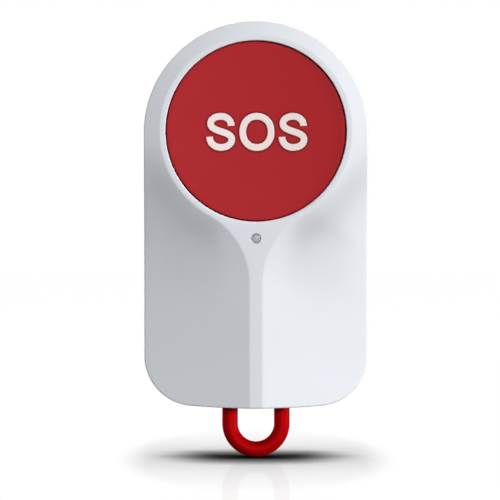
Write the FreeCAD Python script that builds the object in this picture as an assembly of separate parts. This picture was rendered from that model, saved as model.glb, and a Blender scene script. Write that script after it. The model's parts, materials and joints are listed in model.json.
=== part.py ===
import FreeCAD, Part
import math
import os

# Wireless panic button: a wall unit with a round press button and a pull loop.
# X runs to the right and Z up, both from the button's axis. The wall is the plane y = 0, and
# the front looks along -Y, so a depth below is a distance in front of the wall. All in mm.

os.makedirs("parts", exist_ok=True)

# Housing
BODY_WIDTH = 37.6
HEAD_CENTRE_DROP = 0.36
BODY_DROP = 46.44
CORNER_R = 8.42
BOTTOM_BOW = 0.37
HOUSING_DEPTH = 15.0
PARTING_DEPTH = 3.0
WALL = 1.8
FLOOR = 1.6
FRONT_EDGE = 0.4
BACK_EDGE = 0.8

# Raised keyhole on the front, and the flanks that fall away from it
HEAD_BAND = 2.68
RING_WIDTH = 0.95
NECK_R = 12.96
RIB_HALF_WIDTH = 1.083
FLANK_SLOPE_DEG = 13.0
SCOOP_SWEEP = 10.0
SCOOP_END_DROP = 40.0
SCOOP_DROP = 20.0
FLANK_REACH = 3.0
STATION_STEP = 4.2

# Press button
BUTTON_GAP = 0.27
BUTTON_RECESS = 0.25
BUTTON_DISH = 0.45
DISH_FLOOR_R = 7.5
BUTTON_EDGE = 0.25
BUTTON_PLATE = 1.5
BUTTON_SKIRT = 1.2
FLANGE_WIDTH = 1.0
FLANGE_THICK = 1.1
PRESS_TRAVEL = 0.6
BORE_EDGE = 0.2
KEY_WIDTH = 2.0
KEY_DEPTH = 0.5
GUSSETS = 8
GUSSET_THICK = 0.8
GUSSET_LENGTH = 2.6
GUSSET_DEPTH = 0.6
POST_R = 2.0
POST_LENGTH = 0.6

# Light
LIGHT_BELOW_RING = 1.86
LIGHT_HOLE_R = 0.845
PIPE_BODY_R = 1.25
PIPE_TUBE_WALL = 0.6
PIPE_RECESS = 0.2
LIGHT_SIZE = 1.6
LIGHT_HEIGHT = 0.5
LIGHT_DOME_R = 0.6
LIGHT_DOME_RISE = 0.5

# Pull loop and its slider
LOOP_ROD_R = 1.32
LOOP_HALF_PITCH = 4.38
LOOP_CENTRE_BELOW = 2.78
LOOP_DEPTH = 7.5
PULL_TRAVEL = 2.5
SLIDER_SIDE = 1.5
SLIDER_HEIGHT = 3.2
SLIDER_THICK = 3.4
LEG_SEAT = 0.8
PEG_R = 1.0
PEG_LENGTH = 1.4
SPRING_WIRE = 0.5
SPRING_LENGTH = 5.0
SPRING_TURNS = 3
RAIL_THICK = 1.0
RAIL_REST = 0.1
STOP_WIDTH = 1.6
STOP_HEIGHT = 1.2
ARM_HALF_WIDTH = 2.4
ARM_THICK = 1.0
ARM_ROOF_GAP = 0.8

# Circuit board and what it carries
BOARD_THICK = 1.0
BOARD_END_GAP = 2.44
BOARD_GAP = 0.7
SWITCH_SIZE = 6.0
SWITCH_FRAME = 0.2
PLUNGER_R = 1.7
PAD_R = 8.2
PAD_WALL = 1.5
SLIDE_LENGTH = 8.4
SLIDE_WIDTH = 4.0
SLIDE_MARGIN = 0.8
KNOB_WIDTH = 1.6
KNOB_LENGTH = 1.6
CHIP_SIZE = 5.0
CHIP_HEIGHT = 0.9
CHIP_INSET = 9.8
CHIP_DROP = 25.5
CRYSTAL_LENGTH = 5.0
CRYSTAL_WIDTH = 3.2
CRYSTAL_HEIGHT = 1.1
CRYSTAL_X = -2.0
CRYSTAL_DROP = 25.5
CAPACITORS = 4
CAPACITOR_LENGTH = 1.6
CAPACITOR_WIDTH = 0.8
CAPACITOR_PITCH = 1.9
CAPACITOR_DROP = 29.8
ANTENNA_TURNS = 4
ANTENNA_PITCH = 2.2
ANTENNA_HEIGHT = 6.0
ANTENNA_STRIP = 0.8
ANTENNA_THICK = 0.3
ANTENNA_STAND_OFF = 1.2
ANTENNA_INSET = 6.4
ANTENNA_DROP = 24.0

# Coin cell and its contacts
CELL_R = 12.25
CELL_THICK = 5.0
CELL_DROP = 3.0
CELL_CAP_R = 11.2
CELL_CAP_RISE = 0.5
CELL_BACK_GAP = 0.5
CONTACT_RISE = 0.4
CONTACT_THICK = 0.2
CONTACT_LENGTH = 12.0
CONTACT_WIDTH = 5.0
CONTACT_BUMP_R = 1.5
STRAP_THICK = 0.3
STRAP_WIDTH = 5.0
STRAP_GAP = 0.8

# Fixings
TONGUE_THICK = 1.0
TONGUE_HEIGHT = 3.4
HOOK_LENGTH = 4.0
HOOK_RISE = 0.35
HOOK_HEIGHT = 0.8
HOOK_DROPS = (8.0, 33.0)
PRY_SLOT_LENGTH = 7.0
PRY_SLOT_HEIGHT = 0.8
WALL_SCREW_TOP = 12.3
WALL_SCREW_SPACING = 46.0
WALL_SCREW_HOLE_R = 1.8
BOSS_R = 1.9
BOSS_INSET = 6.3
BOSS_DROP = 21.5
TOP_REST_WIDTH = 5.0
TOP_REST_LENGTH = 2.2
SCREW_R = 0.9
SCREW_LENGTH = 2.9
SCREW_HEAD_R = 1.7
SCREW_HEAD_HEIGHT = 1.1

# Clearances
FIT = 0.1
SLIDE_FIT = 0.2
POCKET_GAP = 0.5
PRESS_GAP = 0.35
SEAT_GAP = 0.05
LEG_FIT = 0.1
SCREW_CLEAR = 0.2
LIGHT_FIT = 0.045

HALF_WIDTH = BODY_WIDTH / 2
CORNER_X = HALF_WIDTH - CORNER_R
CORNER_Z = -(BODY_DROP - BOTTOM_BOW - CORNER_R)
BOTTOM_R = (CORNER_X**2 + (CORNER_R + BOTTOM_BOW) ** 2 - CORNER_R**2) / (2 * BOTTOM_BOW)
BOTTOM_CENTRE_Z = BOTTOM_R - BODY_DROP
HEAD_Z = -HEAD_CENTRE_DROP

RING_R = HALF_WIDTH - HEAD_BAND
BORE_R = RING_R - RING_WIDTH
BUTTON_R = BORE_R - BUTTON_GAP
FLANGE_R = BUTTON_R + FLANGE_WIDTH
KEY_INNER_R = FLANGE_R - KEY_DEPTH
SLOPE = math.tan(math.radians(FLANK_SLOPE_DEG))
NECK_X = RIB_HALF_WIDTH + NECK_R
NECK_DROP = math.sqrt((RING_R + NECK_R) ** 2 - NECK_X**2)
NECK_ANGLE = math.atan2(NECK_DROP, NECK_X)

CEILING = HOUSING_DEPTH - WALL
BOARD_DEPTH = FLOOR + CELL_BACK_GAP + STRAP_THICK + CELL_THICK + CONTACT_RISE
BOARD_FRONT = BOARD_DEPTH + BOARD_THICK
RIM_DEPTH = HOUSING_DEPTH - BUTTON_RECESS
FLANGE_TOP = CEILING - SEAT_GAP
FLANGE_BOTTOM = FLANGE_TOP - FLANGE_THICK
PLATE_UNDER = RIM_DEPTH - BUTTON_DISH - BUTTON_PLATE
PLUNGER_TOP = PLATE_UNDER - POST_LENGTH
SWITCH_TOP = PLUNGER_TOP - PRESS_TRAVEL - FIT
TOP_REST_FRONT = FLANGE_BOTTOM - PRESS_TRAVEL - PRESS_GAP
LIGHT_DROP = RING_R + LIGHT_BELOW_RING
LIGHT_TUBE_R = PIPE_BODY_R + SEAT_GAP

INNER_BOTTOM_Z = -(BODY_DROP - WALL)
SLIDER_BOTTOM_Z = INNER_BOTTOM_Z + SPRING_LENGTH
SLIDER_TOP_Z = SLIDER_BOTTOM_Z + SLIDER_HEIGHT
SLIDER_HALF_WIDTH = LOOP_HALF_PITCH + LOOP_ROD_R + SLIDER_SIDE
LOOP_CENTRE_DROP = BODY_DROP + LOOP_CENTRE_BELOW
SLIDER_BACK = LOOP_DEPTH - SLIDER_THICK / 2
SLIDER_FRONT = LOOP_DEPTH + SLIDER_THICK / 2
SPRING_R = (SLIDER_THICK - SPRING_WIRE) / 2
ARM_FRONT = CEILING - ARM_ROOF_GAP
ARM_BACK = ARM_FRONT - ARM_THICK
SLIDE_FRONT = ARM_BACK - SLIDE_FIT - SWITCH_FRAME
BOARD_LOW_Z = SLIDER_TOP_Z + BOARD_END_GAP
SLIDE_LOW_Z = BOARD_LOW_Z + SLIDE_MARGIN
SLIDE_TOP_Z = SLIDE_LOW_Z + SLIDE_LENGTH
KNOB_Z = SLIDE_TOP_Z - (SLIDE_LENGTH - PULL_TRAVEL) / 2
CHIP_X = CHIP_INSET - HALF_WIDTH
ANTENNA_X = HALF_WIDTH - ANTENNA_INSET - ANTENNA_TURNS * ANTENNA_PITCH

WALL_SCREWS_Z = (WALL_SCREW_TOP, WALL_SCREW_TOP - WALL_SCREW_SPACING)
TOP_REST_Z = HEAD_Z + HALF_WIDTH - WALL - TOP_REST_LENGTH
BOSS_X = HALF_WIDTH - BOSS_INSET
BOARD_SCREWS = ((-BOSS_X, -BOSS_DROP), (BOSS_X, -BOSS_DROP))


def at(x, depth, z):
    """The point x to the right, depth in front of the wall and z above the button's axis."""
    return FreeCAD.Vector(x, -depth, z)


def disc(radius, back, front, x=0, z=0):
    """A round plate or pin along the button's axis, between two depths."""
    return Part.makeCylinder(radius, front - back, at(x, back, z), FreeCAD.Vector(0, -1, 0))


def ring(outer, inner, back, front, x=0, z=0):
    return disc(outer, back, front, x, z).cut(disc(inner, back, front, x, z))


def block(x0, x1, back, front, z0, z1):
    return Part.makeBox(x1 - x0, front - back, z1 - z0, at(x0, front, z0))


def upright(radius, z0, z1, x, depth):
    """A round pin or hole that runs up and down."""
    return Part.makeCylinder(radius, z1 - z0, at(x, depth, z0), FreeCAD.Vector(0, 0, 1))


def turned(profile, x=0, z=0):
    """A solid turned about the button's axis from its (radius, depth) outline."""
    points = [at(r, d, 0) for r, d in profile]
    face = Part.Face(Part.makePolygon(points + points[:1]))
    solid = face.revolve(at(0, 0, 0), FreeCAD.Vector(0, -1, 0), 360)
    solid.translate(FreeCAD.Vector(x, 0, z))
    return solid


def mirrored(shape):
    return shape.mirror(at(0, 0, 0), FreeCAD.Vector(1, 0, 0))


def arc(centre_x, centre_z, radius, start, end):
    """An arc in the wall's plane, from one angle to another in radians, 0 to the right."""
    points = []
    for angle in (start, (start + end) / 2, end):
        points.append(at(centre_x + radius * math.cos(angle), 0, centre_z + radius * math.sin(angle)))
    return Part.Arc(*points).toShape()


def outline(inset):
    """The housing's outline, a given distance inside its outer wall."""
    side = HALF_WIDTH - inset
    corner = CORNER_R - inset
    lean = math.atan2(CORNER_X, BOTTOM_CENTRE_Z - CORNER_Z)
    bottom = -math.pi / 2
    edges = [
        arc(0, HEAD_Z, side, 0, math.pi),
        Part.makeLine(at(-side, 0, HEAD_Z), at(-side, 0, CORNER_Z)),
        arc(-CORNER_X, CORNER_Z, corner, -math.pi, bottom - lean),
        arc(0, BOTTOM_CENTRE_Z, BOTTOM_R - inset, bottom - lean, bottom + lean),
        arc(CORNER_X, CORNER_Z, corner, bottom + lean, 0),
        Part.makeLine(at(side, 0, CORNER_Z), at(side, 0, HEAD_Z)),
    ]
    return Part.Face(Part.Wire(edges))


def slab(inset, back, front):
    """The outline as a solid between two depths."""
    solid = outline(inset).extrude(at(0, front - back, 0))
    solid.translate(at(0, back, 0))
    return solid


def keyhole_edge(along):
    """A point on the right-hand edge of the raised keyhole, a length down it from the top."""
    ring_length = RING_R * (math.pi / 2 + NECK_ANGLE)
    neck_length = NECK_R * NECK_ANGLE
    if along <= ring_length:
        angle = math.pi / 2 - along / RING_R
        return RING_R * math.cos(angle), RING_R * math.sin(angle)
    if along <= ring_length + neck_length:
        angle = math.pi - NECK_ANGLE + (along - ring_length) / NECK_R
        return NECK_X + NECK_R * math.cos(angle), -NECK_DROP + NECK_R * math.sin(angle)
    return RIB_HALF_WIDTH, -NECK_DROP - (along - ring_length - neck_length)


def far_end(x, z):
    """Where the flank's straight line through a point of the keyhole's edge runs to, beyond the
    outline. Above the button's axis the lines are radii. Below it they sweep down, and their far
    ends fall smoothly from the head's level to the level of a plane that falls from the rib."""
    reach = HALF_WIDTH + FLANK_REACH
    head_fall = (reach - RING_R) * SLOPE
    if z >= 0:
        return x * reach / RING_R, HOUSING_DEPTH - head_fall, z * reach / RING_R
    sweep = 0
    if -z < SCOOP_END_DROP:
        sweep = SCOOP_SWEEP * math.sin(math.pi * z / SCOOP_END_DROP) ** 2
    share = min((sweep - z) / SCOOP_DROP, 1)
    rib_fall = (reach - RIB_HALF_WIDTH) * SLOPE
    fall = head_fall + (rib_fall - head_fall) * share**2 * (3 - 2 * share)
    return reach, HOUSING_DEPTH - fall, z - sweep


def flank_curves():
    """Two rows of matching points, inside the keyhole's edge and beyond the outline, from the
    bottom left over the head to the bottom right. The flanks are straight between the rows."""
    length = RING_R * (math.pi / 2 + NECK_ANGLE) + NECK_R * NECK_ANGLE + BODY_DROP + FLANK_REACH - NECK_DROP
    steps = round(length / STATION_STEP)
    inner, outer = [], []
    for i in range(steps + 1):
        x, z = keyhole_edge(length * i / steps)
        far_x, far_depth, far_z = far_end(x, z)
        share = -RIB_HALF_WIDTH / 2 / math.hypot(far_x - x, far_z - z)
        rise = share * (far_depth - HOUSING_DEPTH)
        inner.append((x + share * (far_x - x), HOUSING_DEPTH + rise, z + share * (far_z - z)))
        outer.append((far_x, far_depth, far_z))
    for row in (inner, outer):
        row[:0] = [(-x, depth, z) for x, depth, z in row[:0:-1]]
    return [at(*p) for p in inner], [at(*p) for p in outer]


def waste_in_front():
    """What is cut from the slab to leave the raised keyhole: all that lies in front of the
    sloping band round the head and of the two scooped flanks."""
    rows = []
    for points in flank_curves():
        curve = Part.BSplineCurve()
        steps = [i / (len(points) - 1) for i in range(len(points))]
        curve.interpolate(Points=points, Parameters=steps)
        rows.append(curve)
    surface = Part.BSplineSurface()
    surface.buildFromPolesMultsKnots(
        [row.getPoles() for row in rows],
        [2, 2],
        rows[0].getMultiplicities(),
        [0, 1],
        rows[0].getKnots(),
        False,
        False,
        1,
        rows[0].Degree,
    )
    return surface.toShape().extrude(at(0, HOUSING_DEPTH, 0))


def edges_where(shape, test):
    """The edges whose points, at both ends and in the middle, all pass a test."""
    found = []
    for edge in shape.Edges:
        first, last = edge.ParameterRange
        if all(test(edge.valueAt(first + (last - first) * share)) for share in (0, 0.5, 1)):
            found.append(edge)
    return found


def front_block():
    """The front cover's outer form, solid, with its front outline eased."""
    body = slab(0, PARTING_DEPTH, HOUSING_DEPTH).cut(waste_in_front())
    rim = Part.Wire(outline(0).Edges)

    def on_front_outline(point):
        if -point.y < PARTING_DEPTH + WALL:
            return False
        return rim.distToShape(Part.Vertex(point.x, 0, point.z))[0] < SEAT_GAP / 10

    front = [e for e in edges_where(body, on_front_outline) if abs(e.tangentAt(e.FirstParameter).y) < 0.9]
    return body.makeChamfer(FRONT_EDGE, front)


def hook(drop, side, grow):
    """A snap hook on the rear cover's tongue, or its pocket in the front cover's wall."""
    wall = HALF_WIDTH - WALL
    top = FLOOR + TONGUE_HEIGHT + grow
    low = top - HOOK_HEIGHT - 2 * grow
    half = HOOK_LENGTH / 2 + grow
    root = wall - FIT - HOOK_RISE / 2
    tip = wall + HOOK_RISE - FIT + grow
    corners = [at(root, low, 0), at(tip, (low + top) / 2, 0), at(root, top, 0)]
    wedge = Part.Face(Part.makePolygon(corners + corners[:1])).extrude(at(0, 0, 2 * half))
    wedge.translate(at(0, 0, -drop - half))
    return wedge if side > 0 else mirrored(wedge)


def hooks(grow):
    pieces = [hook(drop, side, grow) for drop in HOOK_DROPS for side in (-1, 1)]
    return pieces[0].multiFuse(pieces[1:])


def hollow():
    """The room inside the front cover: a round pocket for the button's flange, a roof that falls
    away from the rib with the flanks, and level room for the board."""
    reach = HALF_WIDTH + FLANK_REACH
    fall = (reach - RIB_HALF_WIDTH) * SLOPE
    section = [
        at(-reach, PARTING_DEPTH, -BODY_DROP),
        at(reach, PARTING_DEPTH, -BODY_DROP),
        at(reach, CEILING - fall, -BODY_DROP),
        at(RIB_HALF_WIDTH, CEILING, -BODY_DROP),
        at(-RIB_HALF_WIDTH, CEILING, -BODY_DROP),
        at(-reach, CEILING - fall, -BODY_DROP),
    ]
    roof = Part.Face(Part.makePolygon(section + section[:1])).extrude(at(0, 0, BODY_DROP + HALF_WIDTH))
    pocket = disc(FLANGE_R + POCKET_GAP, PARTING_DEPTH, CEILING)
    board_room = slab(WALL, PARTING_DEPTH, BOARD_FRONT + BOARD_GAP)
    return slab(WALL, PARTING_DEPTH, CEILING).common(roof.fuse(pocket)).fuse(board_room).removeSplitter()


def front_cover():
    """The moulded front: head ring, neck, rib and flanks, with the fixings inside it."""
    outer = front_block()
    shell = outer.cut(hollow())

    bosses = [disc(BOSS_R, BOARD_FRONT, HOUSING_DEPTH, x, z) for x, z in BOARD_SCREWS]
    half = TOP_REST_WIDTH / 2
    rest = block(-half, half, BOARD_FRONT, TOP_REST_FRONT, TOP_REST_Z, HALF_WIDTH)
    tube = disc(LIGHT_TUBE_R + PIPE_TUBE_WALL, BOARD_FRONT + LIGHT_SIZE, HOUSING_DEPTH, 0, -LIGHT_DROP)
    key_half = KEY_WIDTH / 2
    key = block(KEY_INNER_R, HALF_WIDTH, BOARD_FRONT + BOARD_GAP, HOUSING_DEPTH, -key_half, key_half)
    rail_in = SLIDER_HALF_WIDTH + SLIDE_FIT
    rail_top = SLIDER_TOP_Z + RAIL_REST + STOP_HEIGHT
    rail = block(rail_in, rail_in + RAIL_THICK, SLIDER_BACK, HOUSING_DEPTH, -BODY_DROP, rail_top)
    stop = block(rail_in - STOP_WIDTH, rail_in, SLIDER_BACK, BOARD_DEPTH, SLIDER_TOP_Z + RAIL_REST, rail_top)
    peg = upright(PEG_R, -BODY_DROP, INNER_BOTTOM_Z + PEG_LENGTH, 0, LOOP_DEPTH)
    inside = [*bosses, rest, tube, key, mirrored(key), rail, mirrored(rail), stop, mirrored(stop), peg]
    shell = shell.multiFuse([piece.common(outer) for piece in inside])

    cuts = [
        disc(BORE_R, CEILING, HOUSING_DEPTH),
        disc(LIGHT_HOLE_R, CEILING, HOUSING_DEPTH, 0, -LIGHT_DROP),
        disc(LIGHT_TUBE_R, BOARD_FRONT, CEILING, 0, -LIGHT_DROP),
        hooks(FIT),
    ]
    for x in (-LOOP_HALF_PITCH, LOOP_HALF_PITCH):
        cuts.append(upright(LOOP_ROD_R + LEG_FIT, -BODY_DROP - WALL, INNER_BOTTOM_Z + WALL, x, LOOP_DEPTH))
    for x, z in BOARD_SCREWS:
        cuts.append(disc(SCREW_R, BOARD_FRONT, BOARD_DEPTH + SCREW_LENGTH + FIT, x, z))
    shell = shell.cut(cuts[0].multiFuse(cuts[1:])).removeSplitter()

    def on_bore_edge(point):
        level = abs(-point.y - HOUSING_DEPTH) < SEAT_GAP
        return level and abs(math.hypot(point.x, point.z) - BORE_R) < SEAT_GAP

    return shell.makeChamfer(BORE_EDGE, edges_where(shell, on_bore_edge))


def rear_cover():
    """The wall plate: a floor, a rim and a tongue that snaps into the front cover."""
    body = slab(0, 0, PARTING_DEPTH)
    body = body.makeChamfer(BACK_EDGE, edges_where(body, lambda point: abs(point.y) < SEAT_GAP))
    body = body.cut(slab(WALL + FIT + TONGUE_THICK, FLOOR, PARTING_DEPTH))
    tongue = slab(WALL + FIT, FLOOR, FLOOR + TONGUE_HEIGHT)
    tongue = tongue.cut(slab(WALL + FIT + TONGUE_THICK, FLOOR, FLOOR + TONGUE_HEIGHT))

    low = SLIDER_BOTTOM_Z - PULL_TRAVEL
    guide_in = SLIDER_HALF_WIDTH - RAIL_THICK
    guide = block(guide_in, guide_in + RAIL_THICK, FLOOR, SLIDER_BACK - SLIDE_FIT, low, SLIDER_TOP_Z)
    body = body.multiFuse([tongue, guide, mirrored(guide), hooks(0)])

    pry = block(
        -PRY_SLOT_LENGTH / 2,
        PRY_SLOT_LENGTH / 2,
        PARTING_DEPTH - PRY_SLOT_HEIGHT,
        PARTING_DEPTH,
        -BODY_DROP,
        INNER_BOTTOM_Z - FIT,
    )
    body = body.cut(pry)
    for z in WALL_SCREWS_Z:
        body = body.cut(disc(WALL_SCREW_HOLE_R, 0, FLOOR, 0, z))
    return body.removeSplitter()


def press_button():
    """The round cap: a dished plate on a skirt, held behind the cover by its flange."""
    face_r = BUTTON_R - BUTTON_EDGE
    skirt_in = BUTTON_R - BUTTON_SKIRT
    floor = RIM_DEPTH - BUTTON_DISH
    cap = turned(
        [
            (0, floor),
            (DISH_FLOOR_R, floor),
            (face_r, RIM_DEPTH),
            (BUTTON_R, RIM_DEPTH - BUTTON_EDGE),
            (BUTTON_R, FLANGE_TOP),
            (FLANGE_R, FLANGE_TOP),
            (FLANGE_R, FLANGE_BOTTOM),
            (skirt_in, FLANGE_BOTTOM),
            (skirt_in, PLATE_UNDER),
            (0, PLATE_UNDER),
        ]
    )

    pieces = [disc(POST_R, PLUNGER_TOP, PLATE_UNDER)]
    for i in range(GUSSETS):
        gusset = block(
            skirt_in - GUSSET_LENGTH,
            skirt_in + BUTTON_SKIRT / 2,
            PLATE_UNDER - GUSSET_DEPTH,
            PLATE_UNDER,
            -GUSSET_THICK / 2,
            GUSSET_THICK / 2,
        )
        gusset.rotate(at(0, 0, 0), FreeCAD.Vector(0, 1, 0), 360 * (i + 0.5) / GUSSETS)
        pieces.append(gusset)
    cap = cap.multiFuse(pieces)

    half = KEY_WIDTH / 2 + SLIDE_FIT
    notch = block(KEY_INNER_R - SLIDE_FIT, HALF_WIDTH, FLANGE_BOTTOM, FLANGE_TOP, -half, half)
    return cap.cut(notch).cut(mirrored(notch)).removeSplitter()


def return_pad():
    """The soft rubber ring under the button that pushes it back out."""
    return ring(PAD_R, PAD_R - PAD_WALL, BOARD_FRONT, PLATE_UNDER)


def press_switch():
    """The key switch under the button: its body, its steel frame and its plunger."""
    half = SWITCH_SIZE / 2
    room = PLUNGER_R + SEAT_GAP
    well = (SWITCH_TOP + BOARD_FRONT) / 2
    plunger_back = well + PRESS_TRAVEL + SEAT_GAP
    body = block(-half, half, BOARD_FRONT, SWITCH_TOP - SWITCH_FRAME, -half, half)
    body = body.cut(disc(room, well, SWITCH_TOP))
    frame = block(-half, half, SWITCH_TOP - SWITCH_FRAME, SWITCH_TOP, -half, half)
    frame = frame.cut(disc(room, well, SWITCH_TOP))
    return body, frame, disc(PLUNGER_R, plunger_back, PLUNGER_TOP)


def pull_loop():
    """The bent rod: a half ring below the housing and two straight legs up into the slider."""
    top = SLIDER_TOP_Z - LEG_SEAT
    circle = Part.makeCircle(LOOP_ROD_R, at(LOOP_HALF_PITCH, LOOP_DEPTH, -LOOP_CENTRE_DROP), at(0, 0, 1))
    centre = at(0, LOOP_DEPTH, -LOOP_CENTRE_DROP)
    loop = Part.Face(Part.Wire(circle)).revolve(centre, FreeCAD.Vector(0, 1, 0), 180)
    for x in (-LOOP_HALF_PITCH, LOOP_HALF_PITCH):
        loop = loop.fuse(upright(LOOP_ROD_R, -LOOP_CENTRE_DROP, top, x, LOOP_DEPTH))
    return loop.removeSplitter()


def pull_slider():
    """The carriage that holds the loop's legs, with an arm up in front of the slide switch."""
    arm_top = KNOB_Z + KNOB_LENGTH / 2 + RAIL_THICK
    foot_top = SLIDER_BOTTOM_Z + SLIDER_HEIGHT / 2
    side = SLIDER_HALF_WIDTH
    body = block(-side, side, SLIDER_BACK, SLIDER_FRONT, SLIDER_BOTTOM_Z, SLIDER_TOP_Z)
    foot = block(-ARM_HALF_WIDTH, ARM_HALF_WIDTH, SLIDER_FRONT, ARM_FRONT, SLIDER_BOTTOM_Z, foot_top)
    arm = block(-ARM_HALF_WIDTH, ARM_HALF_WIDTH, ARM_BACK, ARM_FRONT, SLIDER_BOTTOM_Z, arm_top)
    body = body.multiFuse([foot, arm])
    for x in (-LOOP_HALF_PITCH, LOOP_HALF_PITCH):
        body = body.cut(upright(LOOP_ROD_R, SLIDER_BOTTOM_Z, SLIDER_TOP_Z - LEG_SEAT, x, LOOP_DEPTH))
    half = KNOB_WIDTH / 2 + SEAT_GAP
    long = KNOB_LENGTH / 2 + SEAT_GAP
    body = body.cut(block(-half, half, ARM_BACK, ARM_FRONT, KNOB_Z - long, KNOB_Z + long))
    return body.removeSplitter()


def pull_spring():
    """The coil spring that lifts the slider again, on its peg."""
    rise = SPRING_LENGTH - SPRING_WIRE
    half = SPRING_WIRE / 2
    helix = Part.makeHelix(rise / SPRING_TURNS, rise, SPRING_R)
    corners = [(-half, -half), (half, -half), (half, half), (-half, half), (-half, -half)]
    section = Part.makePolygon([FreeCAD.Vector(SPRING_R + x, 0, z) for x, z in corners])
    spring = Part.Wire(helix).makePipeShell([section], True, True)
    spring.translate(at(0, LOOP_DEPTH, INNER_BOTTOM_Z + half))
    return spring


def pull_switch():
    """The slide switch that the slider works: its body, its steel cover and its knob."""
    half = SLIDE_WIDTH / 2
    slot = KNOB_WIDTH / 2 + FIT
    slot_top = KNOB_Z + KNOB_LENGTH / 2 + FIT
    slot_low = KNOB_Z - PULL_TRAVEL - KNOB_LENGTH / 2 - FIT
    knob_back = (BOARD_FRONT + SLIDE_FRONT) / 2
    room = block(-slot, slot, knob_back - FIT, ARM_FRONT, slot_low, slot_top)
    body = block(-half, half, BOARD_FRONT, SLIDE_FRONT, SLIDE_LOW_Z, SLIDE_TOP_Z).cut(room)
    cover = block(-half, half, SLIDE_FRONT, SLIDE_FRONT + SWITCH_FRAME, SLIDE_LOW_Z, SLIDE_TOP_Z).cut(room)
    knob = block(
        -KNOB_WIDTH / 2,
        KNOB_WIDTH / 2,
        knob_back,
        ARM_FRONT,
        KNOB_Z - KNOB_LENGTH / 2,
        KNOB_Z + KNOB_LENGTH / 2,
    )
    return body, cover, knob


def circuit_board():
    board = slab(WALL + BOARD_GAP, BOARD_DEPTH, BOARD_FRONT)
    board = board.cut(block(-HALF_WIDTH, HALF_WIDTH, BOARD_DEPTH, BOARD_FRONT, -BODY_DROP, BOARD_LOW_Z))
    for x, z in BOARD_SCREWS:
        board = board.cut(disc(SCREW_R + SCREW_CLEAR, BOARD_DEPTH, BOARD_FRONT, x, z))
    return board


def board_screws():
    """The two screws that hold the board to the front cover's bosses."""
    screws = []
    for x, z in BOARD_SCREWS:
        head = disc(SCREW_HEAD_R, BOARD_DEPTH - SCREW_HEAD_HEIGHT, BOARD_DEPTH, x, z)
        shank = disc(SCREW_R, BOARD_DEPTH, BOARD_DEPTH + SCREW_LENGTH, x, z)
        screws.append(head.fuse(shank).removeSplitter())
    return Part.makeCompound(screws)


def status_light():
    half = LIGHT_SIZE / 2
    base = block(-half, half, BOARD_FRONT, BOARD_FRONT + LIGHT_HEIGHT, -LIGHT_DROP - half, -LIGHT_DROP + half)
    top = BOARD_FRONT + LIGHT_HEIGHT
    return base.fuse(disc(LIGHT_DOME_R, top, top + LIGHT_DOME_RISE, 0, -LIGHT_DROP)).removeSplitter()


def light_pipe():
    """The clear rod from the board's light to the hole below the button."""
    back = BOARD_FRONT + LIGHT_SIZE
    face = HOUSING_DEPTH - PIPE_RECESS
    head_r = LIGHT_HOLE_R - LIGHT_FIT
    return turned(
        [
            (0, back),
            (PIPE_BODY_R, back),
            (PIPE_BODY_R, CEILING - SEAT_GAP),
            (head_r, CEILING - SEAT_GAP),
            (head_r, face),
            (0, face),
        ],
        0,
        -LIGHT_DROP,
    )


def coin_cell():
    """The sealed cell, its can towards the wall and its smaller cap towards the board."""
    cap_front = BOARD_DEPTH - CONTACT_RISE
    back = cap_front - CELL_THICK
    can_front = cap_front - CELL_CAP_RISE
    return turned(
        [
            (0, back),
            (CELL_R, back),
            (CELL_R, can_front),
            (CELL_CAP_R, can_front),
            (CELL_CAP_R, cap_front),
            (0, cap_front),
        ],
        0,
        -CELL_DROP,
    )


def cell_contact():
    """The spring leaf on the board that meets the cell's cap."""
    leaf = block(
        -CONTACT_WIDTH / 2,
        CONTACT_WIDTH / 2,
        BOARD_DEPTH - CONTACT_THICK,
        BOARD_DEPTH,
        -CELL_DROP - CONTACT_LENGTH / 2,
        -CELL_DROP + CONTACT_LENGTH / 2,
    )
    bump = Part.makeCone(
        CONTACT_BUMP_R,
        CONTACT_BUMP_R / 2,
        CONTACT_RISE - CONTACT_THICK,
        at(0, BOARD_DEPTH - CONTACT_THICK, -CELL_DROP),
        FreeCAD.Vector(0, 1, 0),
    )
    return leaf.fuse(bump)


def cell_strap():
    """The strap behind the cell that holds it to the board and makes its other contact."""
    back = BOARD_DEPTH - CONTACT_RISE - CELL_THICK - STRAP_THICK
    inner = CELL_R + STRAP_GAP
    outer = inner + STRAP_THICK
    points = [
        at(-outer, BOARD_DEPTH, 0),
        at(-outer, back, 0),
        at(outer, back, 0),
        at(outer, BOARD_DEPTH, 0),
        at(inner, BOARD_DEPTH, 0),
        at(inner, back + STRAP_THICK, 0),
        at(-inner, back + STRAP_THICK, 0),
        at(-inner, BOARD_DEPTH, 0),
    ]
    strap = Part.Face(Part.makePolygon(points + points[:1])).extrude(at(0, 0, STRAP_WIDTH))
    strap.translate(at(0, 0, -CELL_DROP - STRAP_WIDTH / 2))
    return strap


def radio_chip():
    half = CHIP_SIZE / 2
    back = BOARD_DEPTH - CHIP_HEIGHT
    chip = block(CHIP_X - half, CHIP_X + half, back, BOARD_DEPTH, -CHIP_DROP - half, -CHIP_DROP + half)
    return chip.makeChamfer(CHIP_HEIGHT / 4, edges_where(chip, lambda point: -point.y < back + FIT))


def crystal():
    """The timing crystal's can, with round ends."""
    half = CRYSTAL_WIDTH / 2
    reach = CRYSTAL_LENGTH / 2 - half
    back = BOARD_DEPTH - CRYSTAL_HEIGHT
    low, high = -CRYSTAL_DROP - reach, -CRYSTAL_DROP + reach
    can = block(CRYSTAL_X - half, CRYSTAL_X + half, back, BOARD_DEPTH, low, high)
    for z in (low, high):
        can = can.fuse(disc(half, back, BOARD_DEPTH, CRYSTAL_X, z))
    return can.removeSplitter()


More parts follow.
